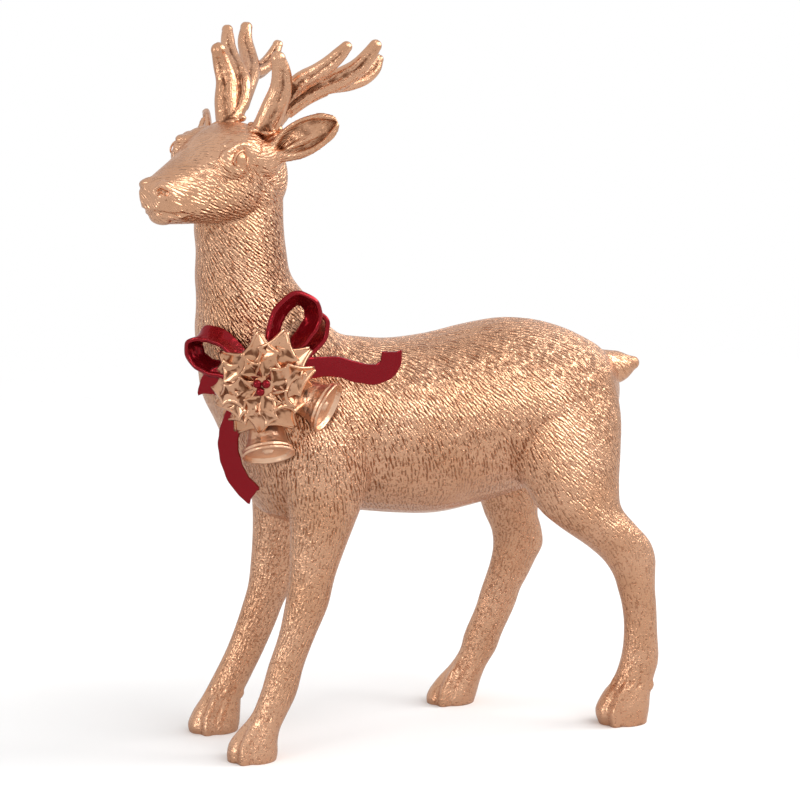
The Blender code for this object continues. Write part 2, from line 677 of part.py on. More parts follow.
def loop(frame, rows):
    """A standing loop; each row says how far the flat side leans."""
    points = smooth_path(rows, 4)
    wides = [Vector((across, up, math.sqrt(max(0, 1 - across ** 2 - up ** 2)))) for _, _, _, across, up in points]
    return strip(frame, [Vector(point[:3]) for point in points], wides)


def tail_end(frame, rows):
    """A tail that lies flat round the neck."""
    path = [Vector(point) for point in smooth_path(rows, 4)]
    wides = []
    for k in range(len(path)):
        along = path[min(k + 1, len(path) - 1)] - path[max(k - 1, 0)]
        wides.append(along.cross(Vector((0, 0, 1))))
    return strip(frame, path, wides, TAIL_NOTCH)


def knot(frame):
    """The knot behind the leaves."""
    middle, radii = KNOT
    lump = ball(Vector((0, 0, 0)), Vector((radii[0], radii[1], radii[1] * 0.7)) * BOW_GRID)
    lump.data.transform(frame @ Matrix.Translation(Vector(middle) * BOW_GRID))
    return lump


def ribbon_bow(frame, skin):
    """Loops, knot and tails in one piece."""
    strips = [loop(frame, rows) for rows in (RIGHT_LOOP, BACK_FOLD, LEFT_LOOP)]
    strips += [tail_end(frame, rows) for rows in (LOWER_TAIL, RIGHT_TAIL, SHORT_TAIL)]
    bow = fuse("ribbon_bow", [*strips, knot(frame)], BOW_VOXEL)
    relax(bow.data, 4, 0.7)
    thin(bow, BOW_TRIANGLES)
    return seat(bow, [skin])


def leaf(frame, heading, share, start, rise):
    """A spiky leaf: it starts in the middle, folds along its rib and bends back with the neck."""
    length = SPRAY_RADIUS * share
    half = length * LEAF_ASPECT
    turn = Matrix.Rotation(math.radians(heading), 4, "Z")
    verts = []
    for along, wide in LEAF_EDGE:
        for side in (-1, 0, 1):
            flat = turn @ Vector((along * length, side * wide * half, 0))
            fold = LEAF_FOLD * (1 - 1.4 * abs(side) * (1 - wide) - 0.5 * abs(side))
            droop = flat.x ** 2 / (2 * NECK_RADIUS)
            height = (SPRAY_OUT + start + rise * along) * BOW_GRID + fold - droop
            verts.append(frame @ Vector((flat.x, flat.y, height)))
    faces = []
    for k in range(len(LEAF_EDGE) - 1):
        for side in (0, 1):
            here = k * 3 + side
            faces.append((here, here + 3, here + 4, here + 1))
    mesh = bpy.data.meshes.new("leaf")
    mesh.from_pydata(verts, [], faces)
    sheet = new_object("leaf", mesh)
    shell = sheet.modifiers.new("body", "SOLIDIFY")
    shell.thickness = LEAF_THICKNESS
    shell.offset = 0
    return baked(sheet)


def holly_spray(frame, neighbours):
    """All the leaves and the boss that they grow from, in one piece."""
    leaves = [leaf(frame, *row) for row in (*OUTER_LEAVES, *INNER_LEAVES)]
    boss = ball(Vector((0, 0, 0)), Vector(BOSS) * SPRAY_RADIUS)
    boss.data.transform(frame @ Matrix.Translation((0, 0, (SPRAY_OUT + 0.6) * BOW_GRID)))
    spray = fuse("holly_spray", [*leaves, boss], SPRAY_VOXEL)
    thin(spray, SPRAY_TRIANGLES)
    return seat(spray, neighbours)


def bell(name, frame, spot, neighbours):
    """A turned bell, solid but for its shallow mouth, with a knob for the clapper."""
    middle, way = spot
    radius = BELL_MOUTH_DIAMETER / 2
    outline = [(share * radius, height * BELL_HEIGHT) for share, height in BELL_OUTLINE]
    outline += [(share * radius, depth * BELL_RECESS) for share, depth in BELL_MOUTH]
    mesh = bpy.data.meshes.new(name)
    edges = [(k, k + 1) for k in range(len(outline) - 1)]
    mesh.from_pydata([(x, 0, z) for x, z in outline], edges, [])
    turned = new_object(name, mesh)
    screw = turned.modifiers.new("turn", "SCREW")
    screw.steps = BELL_SIDES
    screw.render_steps = BELL_SIDES
    screw.use_merge_vertices = True
    screw.merge_threshold = 0.00001
    screw.use_normal_calculate = True
    baked(turned)
    axis = Vector(way).normalized()
    lean = (-axis).to_track_quat("Z", "Y").to_matrix().to_4x4()
    turned.data.transform(frame @ Matrix.Translation(Vector(middle) * BOW_GRID) @ lean)
    return seat(turned, neighbours)


def holly_berries(frame, spray):
    """Three berries that touch each other."""
    graph = bpy.context.evaluated_depsgraph_get()
    tree = BVHTree.FromObject(spray, graph)
    inward = (frame.to_3x3() @ Vector((0, 0, -1))).normalized()
    radius = BERRY_DIAMETER / 2
    solids = []
    for across, up in BERRIES:
        above = frame @ Vector((across * BERRY_DIAMETER, up * BERRY_DIAMETER, BOW_SPAN))
        hit = tree.ray_cast(above, inward)[0]
        solids.append(ball(hit - inward * (radius - BERRY_SINK * BERRY_DIAMETER), (radius, radius, radius)))
    berries = fuse("holly_berries", solids, BERRY_DIAMETER / 12)
    relax(berries.data, 4, 0.8)
    thin(berries, BERRY_TRIANGLES)
    return seat(berries, [spray])


def finish(piece, look):
    """Give the piece its finish and smooth shading."""
    piece.data.materials.clear()
    piece.data.materials.append(look)
    piece.data.shade_smooth()
    piece.data.set_sharp_from_angle(angle=math.radians(50))


def stand_at_origin(pieces):
    """Move the figure so that its box is centred over the origin."""
    points = np.concatenate([positions(piece.data) for piece in pieces])
    middle = (points.min(axis=0) + points.max(axis=0)) / 2
    for piece in pieces:
        piece.data.transform(Matrix.Translation((-middle[0], -middle[1], -GROUND * GRID)))


def build():
    """Model every piece and gather them in the figure's collection."""
    clear_scene()
    skin = body()
    left = antler("antler_left", -1, skin)
    right = antler("antler_right", 1, skin)
    frame = bow_frame(skin)
    bow = ribbon_bow(frame, skin)
    spray = holly_spray(frame, [skin, bow])
    front = bell("bell_front", frame, FRONT_BELL, [skin, bow, spray])
    side = bell("bell_side", frame, SIDE_BELL, [skin, bow, spray, front])
    berries = holly_berries(frame, spray)
    looks = {
        skin: gold("body_gold"), left: gold("antler_gold"), right: gold("antler_gold"), bow: red("ribbon_red"),
        spray: gold("leaf_gold"), front: gold("bell_gold"), side: gold("bell_gold"), berries: red("berry_red"),
    }
    stand_at_origin(list(looks))
    figure = bpy.data.collections.new("reindeer_figurine")
    bpy.context.scene.collection.children.link(figure)
    for piece, look in looks.items():
        finish(piece, look)
        bpy.context.scene.collection.objects.unlink(piece)
        figure.objects.link(piece)


build()
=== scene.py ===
"""The reindeer figurine dressed for its picture: fine forms, carved fur, antique gold and red lacquer.

Its forms are written on the same grid as the model's, so each fine piece lies over the solid it stands for.
"""

import math

import bmesh
import bpy
import numpy as np
from mathutils import Matrix, Vector
from mathutils.bvhtree import BVHTree


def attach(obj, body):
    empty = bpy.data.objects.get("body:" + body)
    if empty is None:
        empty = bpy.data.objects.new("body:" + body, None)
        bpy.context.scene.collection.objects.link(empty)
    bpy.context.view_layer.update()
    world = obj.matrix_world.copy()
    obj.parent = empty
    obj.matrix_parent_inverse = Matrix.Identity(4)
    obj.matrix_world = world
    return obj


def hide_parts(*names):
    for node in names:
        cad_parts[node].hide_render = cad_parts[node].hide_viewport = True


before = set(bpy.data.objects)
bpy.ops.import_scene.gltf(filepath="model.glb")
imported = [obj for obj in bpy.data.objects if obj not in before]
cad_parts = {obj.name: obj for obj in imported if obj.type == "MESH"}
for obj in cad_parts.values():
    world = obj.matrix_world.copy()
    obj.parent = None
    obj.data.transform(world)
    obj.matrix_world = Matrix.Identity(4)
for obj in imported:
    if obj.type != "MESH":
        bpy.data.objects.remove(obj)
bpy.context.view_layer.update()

# Driving sizes, in metres
FIGURE_HEIGHT = 0.248
RIBBON_WIDTH = 0.0070
RIBBON_THICKNESS = 0.0027
BOW_SPAN = 0.068
TAIL_NOTCH = 0.002
SPRAY_RADIUS = 0.0185
LEAF_THICKNESS = 0.00088
BERRY_DIAMETER = 0.0030
BELL_MOUTH_DIAMETER = 0.0180
BELL_HEIGHT = 0.0140
BELL_RECESS = 0.0016

# The figure's proportions are written on a grid of 248 steps from the ground to the top point
# of the antlers, with the ground on line 2, and the bow's in 68ths of its span
GROUND = 2
GRID = FIGURE_HEIGHT / 248
BOW_GRID = BOW_SPAN / 68

# Fineness of the skins that join the masses
BODY_VOXEL = 0.66 * GRID
ANTLER_VOXEL = 0.34 * GRID
BOW_VOXEL = 0.26 * BOW_GRID
EYE_VOXEL = 0.2 * GRID
BELL_VOXEL = 0.28 * GRID
BODY_TRIANGLES = 190000

# Rows of the trunk: place along X, middle height, half width, half height
TRUNK = (
    (-52, 112, 18, 22), (-45, 113, 23, 27), (-30, 113.5, 25.5, 30), (-14, 112.6, 26, 30.6),
    (0, 110.7, 26.5, 30.7), (16, 110.5, 27, 31.7), (31, 112.8, 26.5, 32), (46, 115, 26.5, 31),
    (62, 116, 25.5, 27), (73, 116.5, 21.5, 21.8), (80.5, 117.5, 15.5, 16), (85.5, 118.5, 8, 9.5),
)
# Rows of upright masses: height, middle X, middle Y, half length fore and aft, half width
NECK = (
    (79.5, -33.4, 0, 4.5, 5), (82, -34, 0, 10, 11), (88, -36, 0, 14.2, 16), (95, -38, 0, 16.1, 20),
    (105, -40, 0, 17.7, 23),
    (115, -42, 0, 20, 25), (125, -42, 0, 24.9, 26), (135, -42, 0, 26.6, 25), (143, -43.4, 0, 26, 23.5),
    (149, -47, 0, 22.6, 21.5), (154, -48.3, 0, 21, 19.5), (160, -50.8, 0, 18.4, 18),
    (165, -52.9, 0, 16.7, 16.6), (175, -54.2, -1, 15.4, 15.2), (184, -55.2, -1.8, 15.3, 14.4),
    (192, -54.6, -2.5, 14.5, 13), (200, -52.5, -2, 12, 12),
)
NEAR_FORE_LEG = (
    (126, -30, -14, 15, 8), (112, -30, -16.5, 18, 10.5), (98, -30, -18, 16.5, 10.5), (84, -31.5, -19, 12, 9.3),
    (74, -33.8, -19.5, 9.9, 7.8), (64, -36.1, -20, 8.1, 6.9), (53.5, -38.4, -20.2, 7.5, 6.6),
    (44, -41.8, -20.4, 6.5, 5.4), (34, -45.8, -20.5, 6.2, 5.2), (23, -49.3, -20.6, 6.3, 5.5),
    (16, -53, -20.6, 6.2, 5.7), (12.5, -55.6, -20.6, 7, 6.3), (8, -58, -20.6, 8.4, 7.3),
    (4, -58.5, -20.6, 8.8, 8), (0, -58.8, -20.6, 8.1, 7.7), (-3, -59, -20.6, 8.1, 7.7),
)
FAR_FORE_LEG = (
    (126, -30, 14, 15, 8), (112, -30, 16.5, 18, 10.5), (98, -31, 18, 15, 10.5), (84, -32.5, 19, 10.8, 9.3),
    (74, -33, 19.5, 10, 7.8), (62, -34.8, 20, 8.8, 6.9), (51.5, -37, 20.2, 8, 6.4), (46, -39.4, 20.3, 7.4, 5.7),
    (40, -41.7, 20.4, 7.2, 5.3), (29, -46.7, 20.4, 6.9, 5.3), (18.8, -52.3, 20.4, 6.9, 5.7),
    (14, -55, 20.4, 7, 6.2), (9, -57, 20.4, 8.5, 7.2), (4, -58.2, 20.4, 9.2, 8), (0, -58.2, 20.4, 8, 7.7),
    (-3, -58.2, 20.4, 8, 7.7),
)
NEAR_HIND_LEG = (
    (128, 60, -12, 20, 9), (112, 59, -16, 22.5, 11.5), (98, 59.2, -19, 20.8, 11.5), (88, 61.3, -21, 17.4, 10.5),
    (79.4, 64.5, -22.5, 14.8, 9.5), (73.5, 70.4, -23.5, 13.7, 8.6), (67.5, 77.3, -24, 12.1, 7.6),
    (61.5, 81.9, -24.2, 9.8, 6.8), (55.8, 83.9, -24.4, 7.8, 6.2), (50, 84.9, -24.5, 6.8, 5.6),
    (44.6, 85.9, -24.5, 6.3, 5.3), (33.6, 86.7, -24.5, 6.1, 5.3), (22.8, 86, -24.5, 7.1, 5.9),
    (17.5, 84, -24.5, 7.4, 6.2), (12.5, 81.4, -24.5, 8.9, 7), (7, 79.8, -24.5, 9.9, 7.9),
    (0, 80.2, -24.5, 8.3, 7.6), (-3, 80.2, -24.5, 8.3, 7.6),
)
FAR_HIND_LEG = (
    (128, 60, 12, 20, 9), (112, 60, 16, 22, 11.5), (98, 59, 19, 20, 11.5), (86, 57, 21.5, 15.5, 10),
    (78, 56.8, 22.8, 12, 8.8), (70.3, 57.6, 23.5, 9.9, 7.8), (64, 60, 24, 9.4, 7), (58, 60.6, 24.2, 9.4, 6.6),
    (52.7, 58.8, 24.4, 8.5, 6.1), (47, 56.4, 24.6, 8, 5.7), (42, 54.1, 24.8, 7.5, 5.4),
    (36.5, 52.2, 24.8, 7.4, 5.3),
    (26, 47.2, 24.8, 7.1, 5.5), (20, 45, 24.8, 6.7, 5.7), (15, 41.4, 24.8, 6.7, 6.2), (10, 37.6, 24.8, 8.2, 7),
    (4.5, 34.8, 24.8, 9.2, 7.8), (0, 34.2, 24.8, 8.3, 7.5), (-3, 34.2, 24.8, 8.3, 7.5),
)
# Where masses join and the skin is evened out: middle and radius
JOINS = (
    ((-30, -20, 90), 20), ((-30, 20, 90), 20), ((-22, 0, 142), 26), ((-45, 0, 140), 26), ((56, -22, 92), 24),
    ((56, 22, 92), 24), ((-52, -2, 186), 22), ((80, 0, 124), 16), ((30, 0, 90), 26), ((62, 0, 105), 34),
    ((-40, 0, 100), 30),
)
# The same beside the head, in its frame, and how much the skin is evened out everywhere else
EAR_JOIN = ((1.5, 13.5, 208), 8)
PLAIN_EVENING = 0.25
BODY_ROUNDS = 150
# A line over the withers where the neck flows into the back, and how far and how much it is evened out
WITHERS = ((-18, -22, 124), (-18, 0, 140), (-18, 22, 124))
WITHERS_REACH = 26
WITHERS_ROUNDS = 120
# Middle of each sole, X and Y, the toe toward -X
HOOVES = ((-58.8, -20.6), (-58.2, 20.4), (80.2, -24.5), (34.2, 24.8))
# How far each hoof's toes are turned out, in degrees, and how far the leg leans back above it
HOOF_TURNS = (50, 54, 44, 48)
PASTERN_LEAN = 0.4
# Heights of the hoof's top, the fetlock's folds and the leg's top, and how far a hoof reaches
HOOF_TOP = 18
FETLOCK = 17
LEG_TOP = 84
HOOF_REACH = 14
# Rows of the head: place along its axis, top, bottom, half width, how oval (1) or square (0) it is
HEAD = (
    (-10.5, 207, 192, 7, 1), (-6, 213, 188, 11.5, 0.95), (0, 217, 184.5, 13.6, 0.9), (8, 218.6, 185, 14.6, 0.82),
    (15, 217.4, 185.5, 14.8, 0.78), (20, 215.4, 186, 13.8, 0.8), (24, 213, 186, 12.4, 0.78),
    (29, 210, 186.4, 10.8, 0.8), (36, 206.6, 186.8, 9.1, 0.85), (41, 204.2, 187.4, 8.3, 0.92),
    (44.5, 202.6, 189.4, 7.3, 1), (47.2, 200, 192.6, 4.8, 1),
)
# Balls on each side of the head: place in its frame and radii; skull, orbit, brow, cheek, nostril
FACE_MASSES = (
    ((12.5, 8, 208.8), (10, 7.5, 8.1)), ((19.5, 10.4, 206.8), (5.8, 5.6, 6)), ((18.5, 10.2, 212.6), (4.4, 2.6, 1.7)),
    ((9, 7, 195.5), (11, 6.5, 9.5)), ((43.4, 3.4, 199.4), (3.7, 3.8, 3.2)),
)
CHIN = ((41, 0, 190), (4.8, 5.2, 3.2))
# Masses between the ear and the head; the near ones sit higher and the far ones lower by the tilt
EAR_ROOTS = (((6.4, 12.8, 207), (6.4, 5, 6.4)), ((0.8, 12, 212.2), (4.6, 3.8, 3.8)))
EAR_ROOT_TILT = 0.4
# The two knobs behind each fetlock: behind, aside of and above the sole's middle, and radii
DEWCLAW = ((7.6, 3, 15.6), (2.8, 2.3, 2.7))
HEAD_PIVOT = Vector((-50, 0, 200))
HEAD_TURN = math.radians(25)
HEAD_ROLL = math.radians(3)
UP = Vector((0, 0, 1))
# The head's own axes: forward, and to the figure's right with that side a little high
HEAD_AHEAD = Vector((-math.cos(HEAD_TURN), -math.sin(HEAD_TURN), 0))
HEAD_RIGHT = Vector((-math.sin(HEAD_TURN), math.cos(HEAD_TURN), math.tan(HEAD_ROLL)))
EYE = (19.4, 14.6, 208.9)
# Points of one ear in the head's frame, each with its half width; the way it faces and its cup
EAR = (
    (3.4, 10, 207.8, 3), (3.8, 16, 209.6, 4.2), (0.8, 21.8, 212.5, 6.2), (-3.9, 27, 215.8, 5.9),
    (-7.9, 30.6, 217.9, 3.8), (-9.2, 31.8, 218.6, 2),
)
EAR_FACE = (0.88, 0.45, 0.12)
EAR_THICKNESS = 2.5
EAR_TILT = 0.13
EAR_CUP = 2.6
EAR_CUP_WIDTH = 5.2
EAR_FOLD = 1.2
EAR_RIM = 1.3
# Points of one antler, the same way
TINES = (
    ((4, 7.5, 212, 4), (2, 8.7, 217.4, 4.4), (-1.8, 9.4, 220.6, 4.2), (-5.4, 10.2, 224.6, 4),
     (-7.6, 11.7, 228.9, 3.9), (-9.1, 15, 232.6, 3.7), (-11.4, 20.3, 236.2, 3.3), (-13.8, 24.5, 240, 2.9),
     (-16, 27.1, 243.4, 2.5), (-17.2, 28.4, 245.4, 2)),
    ((-5.8, 10.4, 222.6, 3.4), (-11.4, 13.6, 227.4, 3.7), (-18.9, 19.1, 232.2, 3.9), (-22, 22.7, 234.5, 3.8),
     (-24.4, 25.9, 237.3, 3.4), (-26.5, 29.1, 241.4, 2.9), (-28.8, 30.8, 245.4, 2.2)),
    ((-18.9, 19.1, 231.4, 3.2), (-26.6, 21, 232.2, 3.2), (-32.5, 23, 234.4, 3), (-35.9, 23.9, 237.2, 2.5),
     (-37.4, 24, 239.6, 1.9)),
    ((2, 8.7, 217, 4.6), (0.2, 11.2, 224, 4.6), (-1.5, 12.8, 230.5, 4.1), (-0.6, 14, 236.5, 3.5),
     (1, 14.1, 241, 2.7)),
)
# Where the two front points part, as wide as a palm
ANTLER_WEB = ((1.6, 9.6, 218, 3.8), (-1.2, 11.2, 224, 3.9), (-2.6, 13.2, 229, 3), (-3.2, 14.4, 232, 1.6))
# The collar's middle in the head's frame, its radius and its lumps
COLLAR = (2.4, 8.5, 217.3)
COLLAR_RADIUS = 3.4
COLLAR_LUMPS = 9
COLLAR_LUMP_RADII = (1.5, 1.85, 2.2)
# Points of the tail: X, Y, height and radius
TAIL = ((76, 0, 125.4, 8), (84.5, 0, 125.6, 6.2), (90, 0, 126, 5), (94.2, 0, 126.8, 2.5))

# Furrows round each point of an antler, and their depth
FURROWS = 3
FURROW_DEPTH = 0.8

# The bow sits where a line from this side of the neck meets the skin
BOW_PLACE = -42
BOW_HEIGHT = 131
BOW_SIDE = Vector((-0.45, -0.893, 0)).normalized()
# Paths of the ribbon round the bow's middle: across, up, out. A loop's rows end with how far
# its flat side leans across and up; a tail's flat side faces outward
RIGHT_LOOP = (
    (1, 3, 4, 0, 0.1), (2.4, 17, 2.5, -0.4, 0.15), (5.2, 26, 0, -0.35, 0.5), (10.6, 30, -2.6, 0.15, 0.72),
    (15, 27.4, -4.4, 0.75, 0.35), (15.6, 23, -4.8, 0.85, 0), (13, 18, -4, 0.8, -0.2),
    (9, 13, -1.6, 0.65, -0.3), (3, 5, 2, 0.4, -0.3),
)
BACK_FOLD = (
    (6, 6, 0, 0.5, -0.4), (13, 12, -4, 0.5, -0.4), (18, 17.5, -7.4, 0.5, -0.3), (19, 21.5, -8.4, 0.4, 0.1),
    (15, 25, -8.4, 0.2, 0.3),
)
LEFT_LOOP = (
    (-2, 4, 4, 0, -0.3), (-9.4, 12.4, 2, -0.05, -0.5), (-16, 17, -0.6, -0.2, -0.6),
    (-21.8, 17.4, -2.4, -0.5, -0.58), (-24.6, 14, -3.4, -0.75, -0.35), (-24, 10, -3.2, -0.7, -0.4),
    (-20.4, 7, -2, -0.35, -0.55), (-14, 5.6, 0, -0.1, -0.55), (-4, 3, 3, 0, -0.4),
)
LOWER_TAIL = (
    (-4, -3, 3.5), (-9.8, -9, 1.6), (-12.4, -15.2, -1), (-13.2, -20.2, -2.6), (-12.4, -26.6, -4.4),
    (-10, -33, -6.2), (-5.4, -38.6, -7.8),
)
RIGHT_TAIL = (
    (2, 3, 4), (9, 5, 1.4), (16, 6.6, -2.4), (24, 6.4, -5.6), (31, 4.2, -7.6), (37, 3.8, -8.2), (41, 6.6, -7.8),
    (42, 11.6, -7),
)
SHORT_TAIL = ((-3, 1, 3), (-10, 3.4, 2.2), (-15.4, 3.6, 0.8), (-18.6, 1.4, -0.6), (-19.8, -2.6, -2))
# The knot's middle and radii
KNOT = ((0, 1, 2.2), (7, 6.5, 4.55))

# Leaves round the spray's middle: heading in degrees, length as a share of the radius, then in
# 68ths of the bow's span how high the leaf starts, and its pitch and roll in degrees
LEAVES = (
    (95, 0.98, 0.6, 4, 4), (68, 1.06, -1.2, 4, 10), (38, 1.02, -1.6, 3, -12), (16, 0.94, 0.8, 4, 12),
    (-14, 1.04, 0.0, -2, -10), (-56, 0.96, 0.4, 0, 10), (-94, 0.86, 1.2, 2, -6), (-120, 1.06, -1.2, -3, -8),
    (-140, 1.04, -0.2, -4, 12), (204, 1.0, 0.9, 2, -10), (179, 1.16, -0.4, 1, 8), (146, 1.0, 0.2, 4, -8),
    (-34, 0.9, -1.4, -2, 8),
)
# How far the spray's middle sits above the bow's
SPRAY_LIFT = 1.7
# Half width of a leaf as a share of its length; its spines as shares along it, with their reach; how far
# its edge draws in between them
LEAF_ASPECT = 0.42
LEAF_SPINES = ((0.0, 0.12), (0.3, 0.95), (0.64, 0.85), (1.0, 0.0))
LEAF_DRAW_IN = 0.24
# In metres: how far a leaf's edge is folded up, its ribs, its lipped edge and its arch
LEAF_FOLD = 0.0022
LEAF_RIDGE = 0.0007
LEAF_LIP = 0.0005
LEAF_ARCH = 0.0018
# The neck's radius in metres, and how far out the leaves start
NECK_RADIUS = 0.025
SPRAY_OUT = 5.5
# The boss that the leaves grow from, as shares of the spray's radius
BOSS = (0.24, 0.24, 0.16)
# Berries round the bow's middle, as shares of their diameter, and how deep they sink
BERRIES = ((-0.57, 0.37), (0.43, 0.37), (-0.23, -0.5))
BERRY_SINK = 0.22

# Bells: mouth's middle round the bow's middle, and the way that the mouth looks
FRONT_BELL = ((1.3, -22.6, 3.6), (0.15, -0.88, 0.46))
SIDE_BELL = ((21.2, -6.9, -1.0), (0.89, -0.38, 0.25))
# The bell's outline as shares of its mouth radius and of its height from the mouth
BELL_OUTLINE = (
    (0.0, 1.0), (0.42, 0.97), (0.62, 0.85), (0.69, 0.62), (0.77, 0.35), (0.87, 0.21), (0.94, 0.16), (0.93, 0.1),
    (1.0, 0.05), (0.99, 0.0),
)
# The mouth's inner rim, its floor and the knob's foot and top, as shares of the mouth radius and the recess
BELL_MOUTH = ((0.9, 0.0), (0.84, 1.0), (0.24, 1.0), (0.16, 0.4), (0.0, 0.2))

# Steps between rows, along and round the ribbon, and over a leaf and a lid; rays that look for shade
ROW_STEPS = 4
RIBBON_STEPS = 10
RIBBON_CORNERS = 28
LEAF_COLUMNS = 6
LEAF_STEPS = 7
LID_STEPS = 8
SHADE_RAYS = 8

# Carved lines of the face, in the head's frame, each with how far it is raised, what the far side
# adds to that and the near side takes off, and its reach; then the eye's socket and radius
BROW = ((26, 11, 209.6), (22, 13, 212.4), (16.6, 13.4, 213.4), (13, 12.6, 212))
NOSTRIL = ((47, 3.8, 198.8), (46.3, 5, 199.5), (45.2, 5.8, 198.6))
MOUTH = ((46.6, 2.4, 191.8), (45, 5, 191.6), (37.5, 9, 190.8))
FACE_LINES = (
    (BROW, 0.96, 0, 2), (NOSTRIL, 0.5, 0, 3), (NOSTRIL, -1.6, 0.7, 1.5), (MOUTH, 0.45, 0, 3),
    (MOUTH, -1, 0.3, 1.3),
)
EYE_SOCKET = 4.8
EYE_RADIUS = 2.9
# Each lid: first and last angle round the eye, how tall its arc is, its rise at the corners and the
# middle, and its half thickness
LIDS = ((-34, 196, 0.84, 0.1, 1.25, 0.42), (192, 330, 0.86, 0.1, 0.5, 0.34))

# How the carved strokes slant, in degrees down toward the tail: place along X, height, slant
STROKES = (
    (-56, 178, 44), (-46, 160, 47), (-60, 190, 40), (-62, 200, 36), (-80, 200, 24), (-66, 212, 30),
    (-42, 212, -30), (-34, 217, -32),
    (-20, 132, 60), (-26, 116, 66), (-20, 100, 76), (-40, 122, 72), (-40, 100, 88), (-45, 140, 52),
    (0, 142, 34), (40, 144, 38), (10, 134, 52), (10, 122, 60), (32, 124, 50), (60, 128, 45), (10, 108, 66),
    (36, 108, 60), (60, 112, 46), (76, 120, 44), (0, 92, 84), (20, 92, 82), (40, 92, 74), (60, 95, 48),
    (70, 80, 46), (82, 62, 70), (86, 40, 88), (-36, 66, 104), (-44, 40, 112), (55, 60, 108), (50, 35, 112),
)
# The carving at places along X and height: how strong the strokes are, and how much brown stays in them
FUR = (
    (-56, 178, 0.9, 0.8), (-46, 160, 1, 0.9), (-58, 190, 0.7, 0.45), (-66, 196, 0.7, 0.25), (-82, 198, 0.25, 0.05),
    (-70, 214, 0.2, 0.15), (-72, 204, 0.6, 0.1), (-50, 215, 0.3, 0.2), (-62, 222, 0.15, 0.1),
    (-20, 132, 1, 0.6), (-26, 112, 0.8, 0.8), (-24, 96, 0.5, 0.6), (0, 140, 0.7, 0.6), (40, 145, 0.6, 0.6),
    (10, 126, 1, 0.6), (40, 126, 1, 0.6), (62, 122, 0.8, 0.6), (10, 108, 0.6, 0.6), (40, 108, 0.6, 0.55),
    (10, 92, 0.3, 0.45), (30, 92, 0.3, 0.45), (20, 82, 0.1, 0.05), (66, 102, 0.6, 0.5), (72, 80, 0.5, 0.4),
    (84, 56, 0.35, 0.4), (87, 34, 0.3, 0.4), (-30, 74, 0.45, 0.55), (-40, 50, 0.4, 0.5), (-50, 26, 0.3, 0.4),
    (56, 66, 0.3, 0.5), (52, 40, 0.3, 0.45), (-62, 120, 0.7, 0.5), (88, 128, 0.3, 0.2),
)

# Paint colours
GOLD_LIGHT = (0.74, 0.42, 0.262)
GOLD_WARM = (0.66, 0.352, 0.205)
# A brighter copy of the gold for the bells: painted light that lifts them out of the leaves' shade
GOLD_BELL_PAINTED_LIGHT = (0.92, 0.6, 0.41)
GOLD_GROOVE = (0.32, 0.085, 0.025)
# GOLD_DARK goes into the hollows as wash, and as painted shade between parts and round the ornaments
GOLD_DARK = (0.20, 0.075, 0.035)
RED_LIGHT = (0.26, 0.005, 0.011)
# RED_DARK goes into the ribbon's and berries' hollows, partly as painted shade
RED_DARK = (0.10, 0.004, 0.010)
# How fine the dark specks are, and how far round the bow, in metres, painted shade is laid on the body
SPECK_SCALE = 900
PAINTED_SHADE_FIELD = 0.06

# Camera in the figure's own frame: how far away and how high, its turn in degrees, aim and lens
CAMERA_DISTANCE = 1.2
CAMERA_TURN = -22
CAMERA_HEIGHT = 0.33
CAMERA_AIM = (-0.008, -0.0306, 0.125)
CAMERA_LENS = 157.6
# Soft boxes: name, place, side in metres and power in watts
SOFT_LIGHTS = (
    ("front", (0.5, -0.85, 1.1), 0.75, 5.5), ("left", (-1.35, -0.6, 0.5), 0.5, 4),
    ("right", (1.2, -0.25, 0.95), 0.8, 12),
)
LIGHT_AIM = (0, 0, 0.12)

# The floor's reach in metres, its colour in the figure's light and to the camera, and the brightness of
# the surround low down and overhead
FLOOR_REACH = 0.9
FLOOR_LIT = (0.6, 0.6, 0.6)
FLOOR_SEEN = (0.95, 0.95, 0.95)
DOME_LOW = 0.74
DOME_HIGH = 0.82


def new_object(name, data):
    """An object for the data, linked to the scene."""
    piece = bpy.data.objects.new(name, data)
    bpy.context.scene.collection.objects.link(piece)
    return piece


def from_points(name, verts, edges, faces):
    """An object from points, edges and faces."""
    mesh = bpy.data.meshes.new(name)
    mesh.from_pydata(verts, edges, faces)
    return new_object(name, mesh)


def vectors(items, name):
    """One vector of each item as the rows of an array."""
    flat = np.empty(len(items) * 3)
    items.foreach_get(name, flat)
    return flat.reshape(-1, 3)


def positions(mesh):
    """The mesh's vertices as an array."""
    return vectors(mesh.vertices, "co")


def normals(mesh):
    """The vertex normals as an array."""
    return vectors(mesh.vertex_normals, "vector")


def place(mesh, points):
    """Write the vertices back."""
    mesh.vertices.foreach_set("co", points.ravel())
    mesh.update()


def push(mesh, out, amounts):
    """Move each vertex along its normal by an amount on the figure's grid."""
    place(mesh, positions(mesh) + out * (amounts * GRID)[:, None])


def unit_rows(rows):
    """The rows brought to length one."""
    return rows / np.maximum(np.linalg.norm(rows, axis=1), 1e-9)[:, None]


def outward(mesh):
    """Turn every face outward."""
    shape = bmesh.new()
    shape.from_mesh(mesh)
    bmesh.ops.recalc_face_normals(shape, faces=shape.faces)
    shape.to_mesh(mesh)
    shape.free()


def smooth_rows(rows, steps):
    """Rows on a cubic through the given ones; the first column is the key."""
    rows = np.array(rows, float)
    keys = rows[:, 0]
    slopes = np.gradient(rows, keys, axis=0)
    between = []
    for low in range(len(rows) - 1):
        span = keys[low + 1] - keys[low]
        for f in np.arange(steps) / steps:
            start = (1 + 2 * f) * (1 - f) ** 2 * rows[low] + f * (1 - f) ** 2 * span * slopes[low]
            stop = f * f * (3 - 2 * f) * rows[low + 1] + f * f * (f - 1) * span * slopes[low + 1]
            between.append(start + stop)
    between.append(rows[-1])
    return between


